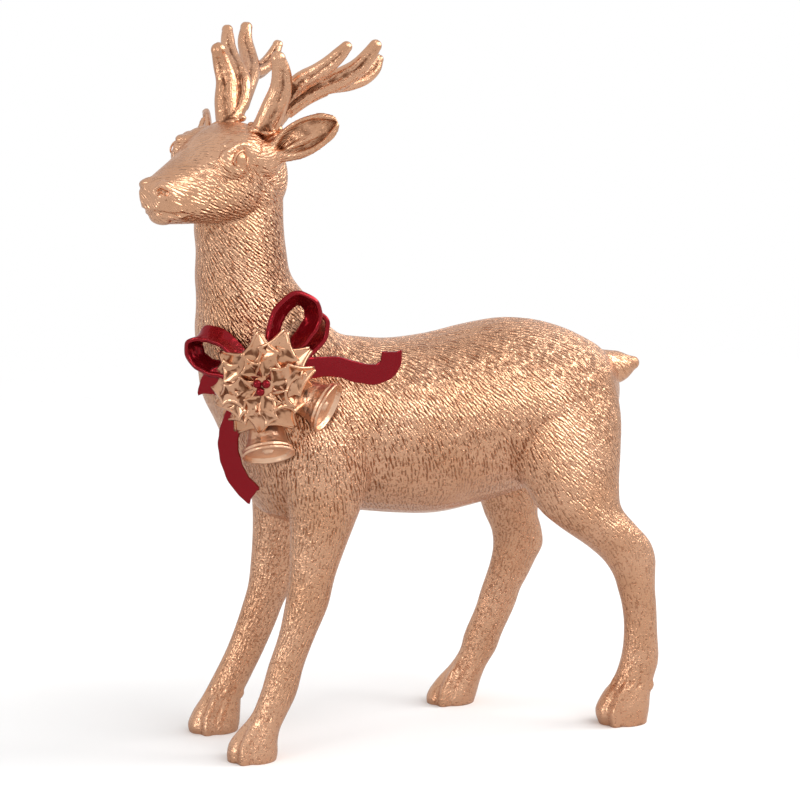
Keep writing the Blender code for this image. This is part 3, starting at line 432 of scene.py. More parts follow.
def smooth_path(points, steps):
    """The same for points of a path, keyed by the way along it."""
    points = np.array(points, float)
    steps_along = np.linalg.norm(np.diff(points[:, :3], axis=0), axis=1)
    along = np.concatenate(([0], np.cumsum(steps_along)))
    return [row[1:] for row in smooth_rows(np.column_stack((along, points)), steps)]


def heading(path, k):
    """The way along a path at one of its points."""
    return Vector(path[min(k + 1, len(path) - 1)][:3]) - Vector(path[max(k - 1, 0)][:3])


def loft(name, rings):
    """A closed solid through rings of equal count."""
    count = len(rings[0])
    faces = []
    for ring in range(len(rings) - 1):
        for k in range(count):
            here = ring * count + k
            beside = ring * count + (k + 1) % count
            faces.append((here, beside, beside + count, here + count))
    last = (len(rings) - 1) * count
    faces.append(tuple(range(count))[::-1])
    faces.append(tuple(range(last, last + count)))
    solid = from_points(name, [point for ring in rings for point in ring], [], faces)
    outward(solid.data)
    return solid


def bent(value, power):
    """The size of a value to a power, with the value's sign."""
    return math.copysign(abs(value) ** power, value)


def oval(middle, side, up, count=32, roundness=1.0):
    """A ring of points on an oval with two half axes; a roundness under one squares it."""
    ring = []
    for k in range(count):
        angle = 2 * math.pi * k / count
        ring.append(middle + side * bent(math.cos(angle), roundness) + up * bent(math.sin(angle), roundness))
    return ring


def ball(middle, radii):
    """An ellipsoid with its axes along X, Y and Z."""
    mesh = bpy.data.meshes.new("ball")
    shape = bmesh.new()
    bmesh.ops.create_uvsphere(shape, u_segments=24, v_segments=12, radius=1)
    shape.to_mesh(mesh)
    shape.free()
    mesh.transform(Matrix.Translation(middle) @ Matrix.Diagonal((*radii, 1)))
    return new_object("ball", mesh)


def baked(piece):
    """Apply the modifiers of an object."""
    graph = bpy.context.evaluated_depsgraph_get()
    mesh = bpy.data.meshes.new_from_object(piece.evaluated_get(graph))
    piece.modifiers.clear()
    piece.data = mesh
    return piece


def joined(name, pieces):
    """Several closed shells in one object."""
    whole = bmesh.new()
    for piece in pieces:
        whole.from_mesh(piece.data)
        bpy.data.objects.remove(piece)
    mesh = bpy.data.meshes.new(name)
    whole.to_mesh(mesh)
    whole.free()
    return new_object(name, mesh)


def fuse(name, pieces, voxel):
    """One closed skin round overlapping solids."""
    skin = joined(name, pieces)
    remesh = skin.modifiers.new("skin", "REMESH")
    remesh.mode = "VOXEL"
    remesh.voxel_size = voxel
    return baked(skin)


def thin(piece, triangles):
    """Bring the mesh down to about this many triangles."""
    piece.data.calc_loop_triangles()
    if len(piece.data.loop_triangles) > triangles:
        decimate = piece.modifiers.new("thin", "DECIMATE")
        decimate.ratio = triangles / len(piece.data.loop_triangles)
        decimate.use_collapse_triangulate = True
        baked(piece)


def neighbours(mesh):
    """Both ends of each edge, and how many edges meet at each vertex."""
    edges = np.empty(len(mesh.edges) * 2, int)
    mesh.edges.foreach_get("vertices", edges)
    first, second = edges.reshape(-1, 2).T
    return first, second, np.maximum(np.bincount(edges, minlength=len(mesh.vertices)), 1)


def pulls(points, around):
    """The way from each point to the middle of its neighbours."""
    first, second, degree = around
    ways = np.empty_like(points)
    for axis in range(3):
        value = points[:, axis]
        total = np.bincount(first, value[second], len(points))
        total += np.bincount(second, value[first], len(points))
        ways[:, axis] = total / degree - value
    return ways


def relax(mesh, rounds, share, back=-0.53):
    """Even out the vertices; share is how far each moves, and every second round gives volume back."""
    around = neighbours(mesh)
    points = positions(mesh)
    share = np.reshape(share, (-1, 1))
    for turn in range(rounds):
        points += (back if turn % 2 else 0.5) * share * pulls(points, around)
    place(mesh, points)


def head_point(along, across, height):
    """A place given in the head's frame, in metres."""
    return (HEAD_PIVOT + HEAD_AHEAD * along + HEAD_RIGHT * across + UP * (height - HEAD_PIVOT.z)) * GRID


def head_way(along, across, height):
    """A direction given in the head's frame."""
    return (HEAD_AHEAD * along + HEAD_RIGHT * across + UP * height).normalized()


def head_spot(row, side):
    """The place on one side of the head that a row starts with."""
    return head_point(row[0], side * row[1], row[2])


def head_line(rows, side):
    """The places on one side of the head that rows start with."""
    return [head_spot(row, side) for row in rows]


def in_head(rows, side):
    """The same with each row's half width."""
    return [(*spot, row[3] * GRID) for spot, row in zip(head_line(rows, side), rows)]


def trunk():
    """Barrel of the body, from the chest to the rump."""
    rings = []
    for x, z, width, height in smooth_rows(TRUNK, ROW_STEPS):
        side = Vector((0, width * GRID, 0))
        up = Vector((0, 0, height * GRID))
        rings.append(oval(Vector((x, 0, z)) * GRID, side, up))
    return loft("trunk", rings)


def upright(name, rows):
    """A mass with level oval sections."""
    rings = []
    for z, x, y, length, width in smooth_rows(rows[::-1], ROW_STEPS):
        ahead = Vector((length * GRID, 0, 0))
        side = Vector((0, width * GRID, 0))
        rings.append(oval(Vector((x, y, z)) * GRID, ahead, side))
    return loft(name, rings)


def head():
    """Skull and muzzle."""
    rings = []
    for along, top, bottom, width, roundness in smooth_rows(HEAD, ROW_STEPS):
        middle = head_point(along, 0, (top + bottom) / 2)
        up = UP * (top - bottom) / 2 * GRID
        rings.append(oval(middle, HEAD_RIGHT * width * GRID, up, roundness=roundness))
    return loft("head", rings)


def face_masses():
    """Skull, orbits, brows, cheeks, nostrils, the ears' roots and the chin."""
    masses = [ball(head_point(*CHIN[0]), Vector(CHIN[1]) * GRID)]
    for rows, higher in ((FACE_MASSES, 0), (EAR_ROOTS, EAR_ROOT_TILT)):
        for (along, across, height), radii in rows:
            for side in (-1, 1):
                middle = head_point(along, side * across, height - side * higher)
                masses.append(ball(middle, Vector(radii) * GRID))
    return masses


def swept(name, points, flatness, facing):
    """A tapering round or flat tube along points that carry a half width."""
    path = smooth_path(points, 5)
    rings = []
    for k, (x, y, z, radius) in enumerate(path):
        along = heading(path, k).normalized()
        side = along.cross(facing).normalized()
        rings.append(oval(Vector((x, y, z)), side * radius, side.cross(along) * radius * flatness, 16))
    return loft(name, rings)


def round_end(points):
    """A ball that closes the last point of a tube."""
    x, y, z, radius = points[-1]
    return ball(Vector((x, y, z)), (radius,) * 3)


def ear_rows(side):
    """The ear's points on one side; the near ear is held higher than the far one."""
    root = EAR[0][1]
    rows = []
    for along, across, height, wide in EAR:
        rows.append((along, across, height - side * EAR_TILT * (across - root), wide))
    return rows


def ear_facing(side):
    """The way that the hollow side of the ear looks."""
    return head_way(EAR_FACE[0], side * EAR_FACE[1], EAR_FACE[2])


def ear(side):
    """One leaf-shaped ear."""
    return swept("ear", in_head(ear_rows(side), side), EAR_THICKNESS / EAR[2][3], ear_facing(side))


def dewclaws():
    """The two small knobs behind each fetlock."""
    knobs = []
    (behind, aside, above), radii = DEWCLAW
    for x, y in HOOVES:
        for side in (-1, 1):
            knobs.append(ball(Vector((x + behind, y + side * aside, above)) * GRID, Vector(radii) * GRID))
    return knobs


def near(points, middle, radius):
    """Weight of each point, one at the middle and none past the radius."""
    away = np.linalg.norm(points - np.array(middle), axis=1) / (radius * GRID)
    return np.clip(1 - away ** 2, 0, 1) ** 2


def near_line(points, corners, radius):
    """The same, for a line through corners."""
    closest = np.full(len(points), np.inf)
    for start, stop in zip(corners[:-1], corners[1:]):
        start = np.array(start)
        way = np.array(stop) - start
        share = np.clip((points - start) @ way / (way @ way), 0, 1)
        closest = np.minimum(closest, np.linalg.norm(points - start - share[:, None] * way, axis=1))
    return np.clip(1 - (closest / (radius * GRID)) ** 2, 0, 1) ** 2


def crease_weights(points):
    """How much the skin is evened out at each point, most where masses meet."""
    weight = np.full(len(points), PLAIN_EVENING)
    for middle, radius in JOINS:
        weight = np.maximum(weight, near(points, Vector(middle) * GRID, radius))
    for side in (-1, 1):
        weight = np.maximum(weight, near(points, head_spot(EAR_JOIN[0], side), EAR_JOIN[1]))
    return np.clip(weight, 0, 1)


def stand_flat(mesh):
    """Cut the soles off level with the ground."""
    shape = bmesh.new()
    shape.from_mesh(mesh)
    everything = shape.verts[:] + shape.edges[:] + shape.faces[:]
    sole = (0, 0, GROUND * GRID)
    cut = bmesh.ops.bisect_plane(shape, geom=everything, plane_co=sole, plane_no=(0, 0, -1), clear_outer=True)
    rim = [item for item in cut["geom_cut"] if isinstance(item, bmesh.types.BMEdge)]
    bmesh.ops.holes_fill(shape, edges=rim)
    bmesh.ops.triangulate(shape, faces=shape.faces)
    shape.to_mesh(mesh)
    shape.free()


def collar(side):
    """Ring of small lumps round the antler's foot."""
    middle = head_spot(COLLAR, side)
    up = head_way(0.15, side * 0.25, 1)
    across = up.orthogonal()
    lumps = []
    for k in range(COLLAR_LUMPS):
        turn = Matrix.Rotation(2 * math.pi * (k + 0.3 * (k % 2)) / COLLAR_LUMPS, 3, up)
        size = COLLAR_LUMP_RADII[k % 3] * GRID
        lumps.append(ball(middle + turn @ across * COLLAR_RADIUS * GRID, (size, size, size * 0.75)))
    return lumps


def bow_frame(skin):
    """The bow's middle on the skin, and its axes across, up and out."""
    tree = BVHTree.FromObject(skin, bpy.context.evaluated_depsgraph_get())
    start = Vector((BOW_PLACE, 0, BOW_HEIGHT)) * GRID + BOW_SIDE * FIGURE_HEIGHT
    hit = tree.ray_cast(start, -BOW_SIDE)[0]
    across = UP.cross(BOW_SIDE)
    return Matrix((
        (across.x, 0, BOW_SIDE.x, hit.x), (across.y, 0, BOW_SIDE.y, hit.y), (0, 1, 0, hit.z), (0, 0, 0, 1),
    ))


def ear_cup(points, out, side):
    """How deep in the ear's cup each point lies, how far beside its middle line and how far up it."""
    facing = np.array(ear_facing(side))
    line = head_line(ear_rows(side), side)
    start = np.array(line[0])
    reach = np.linalg.norm(np.array(line[-1]) - start)
    way = (np.array(line[-1]) - start) / reach
    share = np.clip((points - start) @ way / reach, 0, 1)
    beside = (points - start) @ np.cross(way, facing) / GRID
    wide = EAR_CUP_WIDTH * np.sin(math.pi * np.clip((share - 0.2) / 0.8, 0, 1)) ** 0.7
    inside = np.clip((wide - np.abs(beside)) / EAR_RIM, 0, 1) * np.clip(out @ facing * 2, 0, 1)
    return inside * np.minimum(1, 3 * near_line(points, line, 9)), beside, share


def carve_face(mesh):
    """Eye sockets, brows, nostrils, the mouth and the folded hollows of the ears."""
    for side in (-1, 1):
        points, out = positions(mesh), normals(mesh)
        lift = -near(points, head_spot(EYE, side), EYE_SOCKET)
        for line, amount, farther, reach in FACE_LINES:
            lift += (amount + side * farther) * near_line(points, head_line(line, side), reach)
        inside, beside, share = ear_cup(points, out, side)
        fold = EAR_FOLD * np.exp(-((beside * side + 1.5) / 0.9) ** 2) * np.clip((0.85 - share) * 4, 0, 1)
        cup = ((EAR_CUP - fold) * inside * GRID)[:, None]
        place(mesh, points + out * (lift * GRID)[:, None] - np.array(ear_facing(side)) * cup)


def carve_hooves(mesh):
    """The ridge down the front of each hoof, the hollows beside it and the folds above the hoof."""
    points, out = positions(mesh), normals(mesh)
    lift = np.zeros(len(points))
    height = points[:, 2] / GRID
    for (x, y), turn in zip(HOOVES, HOOF_TURNS):
        ahead = -np.array((math.cos(math.radians(turn)), math.sin(math.radians(turn))))
        away = points[:, :2] / GRID - (x, y)
        away[:, 0] -= PASTERN_LEAN * np.maximum(height - 8, 0)
        front = np.clip((away @ ahead - 1) / 3, 0, 1) * (np.hypot(*away.T) < HOOF_REACH)
        across = away @ np.array((ahead[1], -ahead[0]))
        ridge = 1.1 * np.exp(-(across / 1.5) ** 2) - 0.7 * np.exp(-((np.abs(across) - 3) / 1.4) ** 2)
        folds = np.exp(-((height - FETLOCK) / 1.6) ** 2) * (0.5 * np.cos(across * 2.1) - 0.2)
        lift += front * (ridge * np.clip((HOOF_TOP - height) / 4, 0, 1) + folds)
    push(mesh, out, lift)


def write_attribute(mesh, name, values):
    """Keep a value or a direction for each vertex, for the materials to read."""
    kind, field = ("FLOAT", "value") if values.ndim == 1 else ("FLOAT_VECTOR", "vector")
    layer = mesh.attributes.new(name, kind, "POINT")
    layer.data.foreach_set(field, values.astype(np.float32).ravel())


def mark_hollows(mesh, rounds, reach):
    """How deep each vertex lies in a hollow (1) or on a ridge (-1), against a smoother skin."""
    around = neighbours(mesh)
    points = positions(mesh)
    for _ in range(rounds):
        points += 0.6 * pulls(points, around)
    depth = ((points - positions(mesh)) * normals(mesh)).sum(axis=1)
    write_attribute(mesh, "hollow", np.clip(depth / reach, -1, 1))


def raise_hollow(mesh, amounts):
    """Add to the hollows that are kept for each vertex."""
    hollow = np.empty(len(mesh.vertices))
    layer = mesh.attributes["hollow"].data
    layer.foreach_get("value", hollow)
    layer.foreach_set("value", np.clip(hollow + amounts, -1, 1.2).astype(np.float32))


def shade_tree(pieces):
    """One search tree for the faces of several pieces."""
    verts = []
    faces = []
    for piece in pieces:
        first = len(verts)
        verts += [tuple(point) for point in positions(piece.data)]
        faces += [tuple(corner + first for corner in face.vertices) for face in piece.data.polygons]
    return BVHTree.FromPolygons(verts, faces)


def deepen_shade(mesh, tree, reach):
    """Add to the hollows how much of the sky over each vertex its neighbours hide."""
    hidden = np.zeros(len(mesh.vertices))
    for k, (spot, up) in enumerate(zip(positions(mesh), normals(mesh))):
        up = Vector(up)
        side = up.orthogonal().normalized()
        beside = up.cross(side)
        start = Vector(spot) + up * 0.06 * GRID
        for step in range(SHADE_RAYS):
            turn = 2 * math.pi * step / SHADE_RAYS
            way = up * 0.6 + side * math.cos(turn) * 0.8 + beside * math.sin(turn) * 0.8
            if tree.ray_cast(start, way, reach * GRID)[0]:
                hidden[k] += 1 / SHADE_RAYS
    raise_hollow(mesh, 0.9 * np.clip(hidden - 0.4, 0, 1))


def paint_shade_beside(mesh, tree, reach):
    """Painted shade on the body round the foot of the ornaments, added to its hollows' dark."""
    points = positions(mesh)
    amounts = np.zeros(len(points))
    for k in np.flatnonzero(np.linalg.norm(points - np.array(grid.translation), axis=1) < PAINTED_SHADE_FIELD):
        away = tree.find_nearest(Vector(points[k]), reach * GRID)[3]
        if away is not None:
            amounts[k] = 1 - away / (reach * GRID)
    raise_hollow(mesh, amounts)


def blended(points, table, reach, power):
    """The values of a table's rows at each point, weighed by how near the rows' X and height lie."""
    total = np.full(len(points), 1e-9)
    values = np.zeros((len(points), len(table[0]) - 2))
    for x, z, *row in table:
        away = ((points[:, 0] / GRID - x) ** 2 + (points[:, 2] / GRID - z) ** 2) / reach
        weight = 1 / (1 + away) ** power
        values += weight[:, None] * np.array(row)
        total += weight
    return (values / total[:, None]).T


def stroke_ways(points):
    """The way that the carved strokes run at each point, from the chosen places."""
    doubled = []
    for x, z, slant in STROKES:
        doubled.append((x, z, math.cos(2 * math.radians(slant)), math.sin(2 * math.radians(slant))))
    level, steep = blended(points, doubled, 90, 2.5)
    slant = np.arctan2(steep, level) / 2
    return np.column_stack((np.cos(slant), np.zeros(len(points)), -np.sin(slant)))


def mark_fur(mesh):
    """Directions across the strokes, how strong they are, the brown that stays in them and the pits."""
    points, out = positions(mesh), normals(mesh)
    height = points[:, 2] / GRID
    write_attribute(mesh, "across", unit_rows(np.cross(out, stroke_ways(points))))
    smooth = np.clip((height - 12) / 10, 0.25, 1)
    for side in (-1, 1):
        line = head_line(ear_rows(side)[1:], side)
        smooth *= 1 - np.minimum(1, 3 * near_line(points, line, 9)) * 0.4
        smooth *= 1 - np.minimum(1, 2 * near(points, head_spot(EYE, side), 6.5)) * 0.9
    leg = np.clip((LEG_TOP - height) / 14, 0, 1)
    fur, stain = blended(points, FUR, 60, 3) * smooth * (1 - 0.35 * leg)
    write_attribute(mesh, "fur", fur)
    write_attribute(mesh, "stain", stain)
    hoof = 0.3 * np.clip((HOOF_TOP - height) / 4, 0, 1)
    write_attribute(mesh, "pits", np.maximum(1.2 * stain - 0.4 * fur + 0.22 * leg, hoof))


def fine_body():
    """The casting of the deer with its finer carving."""
    masses = [trunk(), upright("neck", NECK), head(), ear(-1), ear(1), *face_masses(), *dewclaws()]
    for rows in (NEAR_FORE_LEG, FAR_FORE_LEG, NEAR_HIND_LEG, FAR_HIND_LEG):
        masses.append(upright("leg", rows))
    tail = [(x * GRID, y * GRID, z * GRID, radius * GRID) for x, y, z, radius in TAIL]
    masses += [swept("tail", tail, 1.05, UP), round_end(tail)]
    withers = [Vector(spot) * GRID for spot in WITHERS]
    skin = fuse("figure_skin", masses, BODY_VOXEL)
    mesh = skin.data
    relax(mesh, BODY_ROUNDS, crease_weights(positions(mesh)))
    relax(mesh, WITHERS_ROUNDS, np.minimum(1, 2 * near_line(positions(mesh), withers, WITHERS_REACH)), 0.5)
    carve_face(mesh)
    carve_hooves(mesh)
    relax(mesh, 2, 0.4)
    thin(skin, BODY_TRIANGLES)
    stand_flat(skin.data)
    mark_fur(skin.data)
    # The skin's creases and the ears' cups are kept for darker paint, partly wash and partly painted shade
    mark_hollows(skin.data, 14, 1.5 * GRID)
    for side in (-1, 1):
        raise_hollow(skin.data, 0.3 * ear_cup(positions(skin.data), normals(skin.data), side)[0])
    return skin


def lid(eye, ahead, up, out, shape):
    """One eyelid: a thin roll round the eyeball."""
    first, last, tall, low, high, radius = shape
    points = []
    for step in range(LID_STEPS + 1):
        angle = math.radians(first + (last - first) * step / LID_STEPS)
        arch = math.sin(math.pi * step / LID_STEPS)
        wide = 1.02 + 0.2 * max(0, math.cos(angle))
        spot = eye + (ahead * math.cos(angle) * wide + up * math.sin(angle) * tall) * EYE_RADIUS * GRID
        spot += out * (low + (high - low) * arch) * GRID
        points.append((*spot, radius * GRID * (0.6 + 0.4 * arch)))
    return [swept("lid", points, 1, out), round_end(points), round_end(points[::-1])]


def eyes(skin):
    """Both eyeballs with their lids, in one piece."""
    tree = BVHTree.FromObject(skin, bpy.context.evaluated_depsgraph_get())
    shells = []
    for side in (-1, 1):
        hit, out = tree.find_nearest(head_spot(EYE, side))[:2]
        out = (out + head_way(0.1, side * 0.8, 0.1)).normalized()
        ahead = head_way(1, 0, -0.32)
        ahead = (ahead - out * ahead.dot(out)).normalized()
        up = out.cross(ahead).normalized()
        up = up if up.z > 0 else -up
        shells.append(ball(hit - out * 1.05 * GRID, (EYE_RADIUS * GRID,) * 3))
        for shape in LIDS:
            shells += lid(hit, ahead, up, out, shape)
    pair = fuse("eyes", shells, EYE_VOXEL)
    relax(pair.data, 4, 0.6)
    # The groove between the lids and the ball is kept for darker paint: painted shade
    mark_hollows(pair.data, 10, 0.2 * GRID)
    return pair


def antler(name, side):
    """One antler with furrows along its points."""
    solids = collar(side)
    facing = head_way(0.3, side, 0.2)
    for tine in (*TINES, ANTLER_WEB):
        points = in_head(tine, side)
        solids += [swept("tine", points, 0.92, facing), round_end(points)]
    skin = fuse(name, solids, ANTLER_VOXEL)
    relax(skin.data, 20, 0.8)
    furrows = score(skin.data, side, np.array(facing))
    # The hollows, the furrows and the points' tips are kept for darker paint, partly wash and partly painted shade
    mark_hollows(skin.data, 14, 0.4 * GRID)
    raise_hollow(skin.data, furrows)
    return skin


def score(mesh, side, facing):
    """Press broad furrows into the antler along its points, fading toward their tips."""
    points, out = positions(mesh), normals(mesh)
    best = np.full(len(points), np.inf)
    turn = np.zeros(len(points))
    fade = np.zeros(len(points))
    ways = np.zeros((len(points), 3))
    for tine in TINES:
        spots = [np.array(row[:3]) for row in smooth_path(in_head(tine, side), 3)]
        for k, (start, stop) in enumerate(zip(spots[:-1], spots[1:])):
            reach = np.linalg.norm(stop - start)
            way = (stop - start) / reach
            along = np.clip((points - start) @ way, 0, reach)
            away = points - start - along[:, None] * way
            far = np.linalg.norm(away, axis=1)
            beside = np.cross(way, facing)
            closer = far < best
            best = np.where(closer, far, best)
            turn = np.where(closer, np.arctan2(away @ beside, away @ np.cross(beside, way)), turn)
            ways[closer] = way
            fade = np.where(closer, min(1, 4 * (1 - (k + 1) / len(spots))), fade)
    furrow = 0.5 + 0.5 * np.cos(turn * FURROWS + 0.9)
    push(mesh, out, -FURROW_DEPTH * furrow ** 2 * fade)
    relax(mesh, 10, 0.7)
    write_attribute(mesh, "across", unit_rows(np.cross(normals(mesh), ways)))
    write_attribute(mesh, "fur", np.full(len(points), 0.1))
    write_attribute(mesh, "stain", 0.05 + 0.25 * furrow * fade)
    write_attribute(mesh, "pits", 0.3 * furrow * fade)
    return 0.45 * furrow ** 3 * fade + 0.6 * np.clip(0.4 - fade, 0, 1)


def strip(grid, path, wides, notch=0.0):
    """A length of ribbon with rolled edges along a path."""
    rings = []
    for k, (middle, wide) in enumerate(zip(path, wides)):
        reach = notch if k == len(path) - 1 else 0.0
        along = heading(path, k).normalized()
        wide = (wide - along * wide.dot(along)).normalized()
        thick = along.cross(wide)
        sway = 1 + 0.03 * math.sin(k * 0.7)
        ring = []
        for corner in range(RIBBON_CORNERS):
            angle = 2 * math.pi * corner / RIBBON_CORNERS
            share = abs(math.cos(angle)) ** 0.6
            half = RIBBON_THICKNESS / 2 * (0.5 + 0.5 * share ** 3)
            edge = wide * math.copysign(share, math.cos(angle)) * RIBBON_WIDTH / 2
            face = thick * bent(math.sin(angle), 0.5) * half
            torn = reach * (0.6 * math.cos(angle) + 0.35 * math.sin(7 * angle) * share)
            ring.append(grid @ (middle * BOW_GRID + edge * sway + face + along * torn))
        rings.append(ring)
    return loft("strip", rings)


def loop(grid, rows):
    """A standing loop; each row says how far the flat side leans."""
    points = smooth_path(rows, RIBBON_STEPS)
    wides = []
    for _, _, _, across, up in points:
        wides.append(Vector((across, up, math.sqrt(max(0, 1 - across ** 2 - up ** 2)))))
    return strip(grid, [Vector(point[:3]) for point in points], wides)


def tail_end(grid, rows):
    """A tail that lies flat round the neck."""
    path = [Vector(point) for point in smooth_path(rows, RIBBON_STEPS)]
    wides = [heading(path, k).cross(UP) for k in range(len(path))]
    return strip(grid, path, wides, TAIL_NOTCH)


def knot(grid):
    """The knot behind the leaves."""
    middle, radii = KNOT
    lump = ball(Vector((0, 0, 0)), Vector(radii) * BOW_GRID)
    lump.data.transform(grid @ Matrix.Translation(Vector(middle) * BOW_GRID))
    return lump


def ribbon_bow(grid):
    """Loops, knot and tails in one piece."""
    strips = [loop(grid, rows) for rows in (RIGHT_LOOP, BACK_FOLD, LEFT_LOOP)]
    strips += [tail_end(grid, rows) for rows in (LOWER_TAIL, RIGHT_TAIL, SHORT_TAIL)]
    bow = fuse("bow", [*strips, knot(grid)], BOW_VOXEL)
    relax(bow.data, 8, 0.6)
    mark_hollows(bow.data, 16, 0.25 * BOW_GRID)
    return bow


def leaf_rows():
    """Places along a leaf with the half width there, drawn in between the spines."""
    rows = []
    for (start, near_reach), (stop, far_reach) in zip(LEAF_SPINES[:-1], LEAF_SPINES[1:]):
        for step in range(LEAF_STEPS):
            share = step / LEAF_STEPS
            wide = near_reach + (far_reach - near_reach) * share
            drawn = LEAF_DRAW_IN * wide * math.sin(math.pi * share) ** 0.7
            rows.append((start + (stop - start) * share, wide - drawn))
    rows.append((1.0, 0.02))
    return rows


def leaf_height(along, side, wide):
    """Height of a leaf over its flat shape: folded up from the rib, ridged to its spines, lipped."""
    out = abs(side) * wide
    height = LEAF_FOLD * out + LEAF_ARCH * (math.sin(math.pi * along) - 0.7 * along ** 2)
    height += LEAF_LIP * abs(side) ** 5 + LEAF_RIDGE * math.exp(-(out / 0.07) ** 2) * (1 - along)
    for spine, reach in LEAF_SPINES[1:3]:
        off = (along - spine + 0.16 * (1 - abs(side))) / 0.045
        height += LEAF_RIDGE * 1.6 * abs(side) * reach * math.exp(-off ** 2)
    return height


def leaf():
    """One holly leaf that points along X, the pattern for them all."""
    half = SPRAY_RADIUS * LEAF_ASPECT
    rows = leaf_rows()
    verts = []
    for along, wide in rows:
        for column in range(-LEAF_COLUMNS, LEAF_COLUMNS + 1):
            side = column / LEAF_COLUMNS
            verts.append((along * SPRAY_RADIUS, side * wide * half, leaf_height(along, side, wide)))
    faces = []
    count = 2 * LEAF_COLUMNS + 1
    for k in range(len(rows) - 1):
        for column in range(2 * LEAF_COLUMNS):
            here = k * count + column
            faces.append((here, here + count, here + count + 1, here + 1))
    sheet = from_points("leaf", verts, [], faces)
    shell = sheet.modifiers.new("body", "SOLIDIFY")
    shell.thickness = LEAF_THICKNESS
    shell.offset = -1
    return baked(sheet)


def spray_tree():
    """Places the leaf on each point, turned and sized by the point, and bends the whole with the neck."""
    tree = bpy.data.node_groups.new("holly_leaves", "GeometryNodeTree")
    sockets = {}
    for name, kind, way in (
        ("Points", "NodeSocketGeometry", "INPUT"), ("Leaf", "NodeSocketObject", "INPUT"),
        ("Neck Radius", "NodeSocketFloat", "INPUT"), ("Finish", "NodeSocketMaterial", "INPUT"),
        ("Spray", "NodeSocketGeometry", "OUTPUT"),
    ):
        sockets[name] = tree.interface.new_socket(name, in_out=way, socket_type=kind).identifier
    nodes = {}
    for name, kind in (
        ("enter", "NodeGroupInput"), ("leave", "NodeGroupOutput"), ("pattern", "GeometryNodeObjectInfo"),
        ("rotation", "FunctionNodeEulerToRotation"), ("placed", "GeometryNodeInstanceOnPoints"),
        ("real", "GeometryNodeRealizeInstances"), ("spot", "GeometryNodeInputPosition"),
        ("parts", "ShaderNodeSeparateXYZ"), ("droop", "ShaderNodeCombineXYZ"),
        ("bend", "GeometryNodeSetPosition"), ("finish", "GeometryNodeSetMaterial"),
    ):
        nodes[name] = tree.nodes.new(kind)
    for name, kind in (("turn", "FLOAT_VECTOR"), ("share", "FLOAT")):
        nodes[name] = tree.nodes.new("GeometryNodeInputNamedAttribute")
        nodes[name].data_type = kind
        nodes[name].inputs["Name"].default_value = name
    along = (nodes["parts"], "X")
    across_neck = calculate(tree, "MULTIPLY", (nodes["enter"], "Neck Radius"), -2)
    nodes["fall"] = calculate(tree, "DIVIDE", calculate(tree, "MULTIPLY", along, along), across_neck)
    for source, output, target, socket in (
        ("enter", "Leaf", "pattern", "Object"), ("turn", "Attribute", "rotation", "Euler"),
        ("enter", "Points", "placed", "Points"), ("pattern", "Geometry", "placed", "Instance"),
        ("rotation", "Rotation", "placed", "Rotation"), ("share", "Attribute", "placed", "Scale"),
        ("placed", "Instances", "real", "Geometry"), ("spot", "Position", "parts", "Vector"),
        ("fall", 0, "droop", "Z"), ("real", "Geometry", "bend", "Geometry"),
        ("droop", "Vector", "bend", "Offset"), ("bend", "Geometry", "finish", "Geometry"),
        ("enter", "Finish", "finish", "Material"), ("finish", "Geometry", "leave", "Spray"),
    ):
        link(tree, nodes[source], output, nodes[target], socket)
    return tree, sockets


def holly_spray(grid, look):
    """All the leaves and the boss that they grow from, in one piece."""
    pattern = leaf()
    starts = [(0, 0, (SPRAY_OUT + row[2]) * BOW_GRID) for row in LEAVES]
    leaves = from_points("leaves", starts, [], [])
    turns = []
    for turn, _, _, pitch, roll in LEAVES:
        turns.append((math.radians(roll), math.radians(-pitch), math.radians(turn)))
    write_attribute(leaves.data, "turn", np.array(turns))
    write_attribute(leaves.data, "share", np.array([row[1] for row in LEAVES]))
    tree, sockets = spray_tree()
    placed = leaves.modifiers.new("leaves", "NODES")
    placed.node_group = tree
    placed[sockets["Leaf"]] = pattern
    placed[sockets["Neck Radius"]] = NECK_RADIUS
    placed[sockets["Finish"]] = look
    baked(leaves)
    bpy.data.objects.remove(pattern)
    boss = ball(UP * (SPRAY_OUT + 0.6) * BOW_GRID, Vector(BOSS) * SPRAY_RADIUS)
    spray = joined("spray", [leaves, boss])
    outward(spray.data)
    spray.data.transform(grid)
    mark_hollows(spray.data, 6, 0.12 * BOW_GRID)
    return spray


def bell(name, grid, spot):
    """A turned bell with beads round its rim and a knob in its mouth."""
    middle, way = spot
    radius = BELL_MOUTH_DIAMETER / 2
    outline = [(share * radius, 0, height * BELL_HEIGHT) for share, height in BELL_OUTLINE]
    outline += [(share * radius, 0, depth * BELL_RECESS) for share, depth in BELL_MOUTH]
    turned = from_points(name, outline, [(k, k + 1) for k in range(len(outline) - 1)], [])
    screw = turned.modifiers.new("turn", "SCREW")
    screw.steps = 72
    screw.render_steps = 72
    screw.use_merge_vertices = True
    screw.merge_threshold = 0.00001
    screw.use_normal_calculate = True
    solid = fuse(name, [baked(turned)], BELL_VOXEL)
    relax(solid.data, 10, 0.6)
    lean = (-Vector(way).normalized()).to_track_quat("Z", "Y").to_matrix().to_4x4()
    solid.data.transform(grid @ Matrix.Translation(Vector(middle) * BOW_GRID) @ lean)
    mark_hollows(solid.data, 16, 0.9 * BOW_GRID)
    return solid


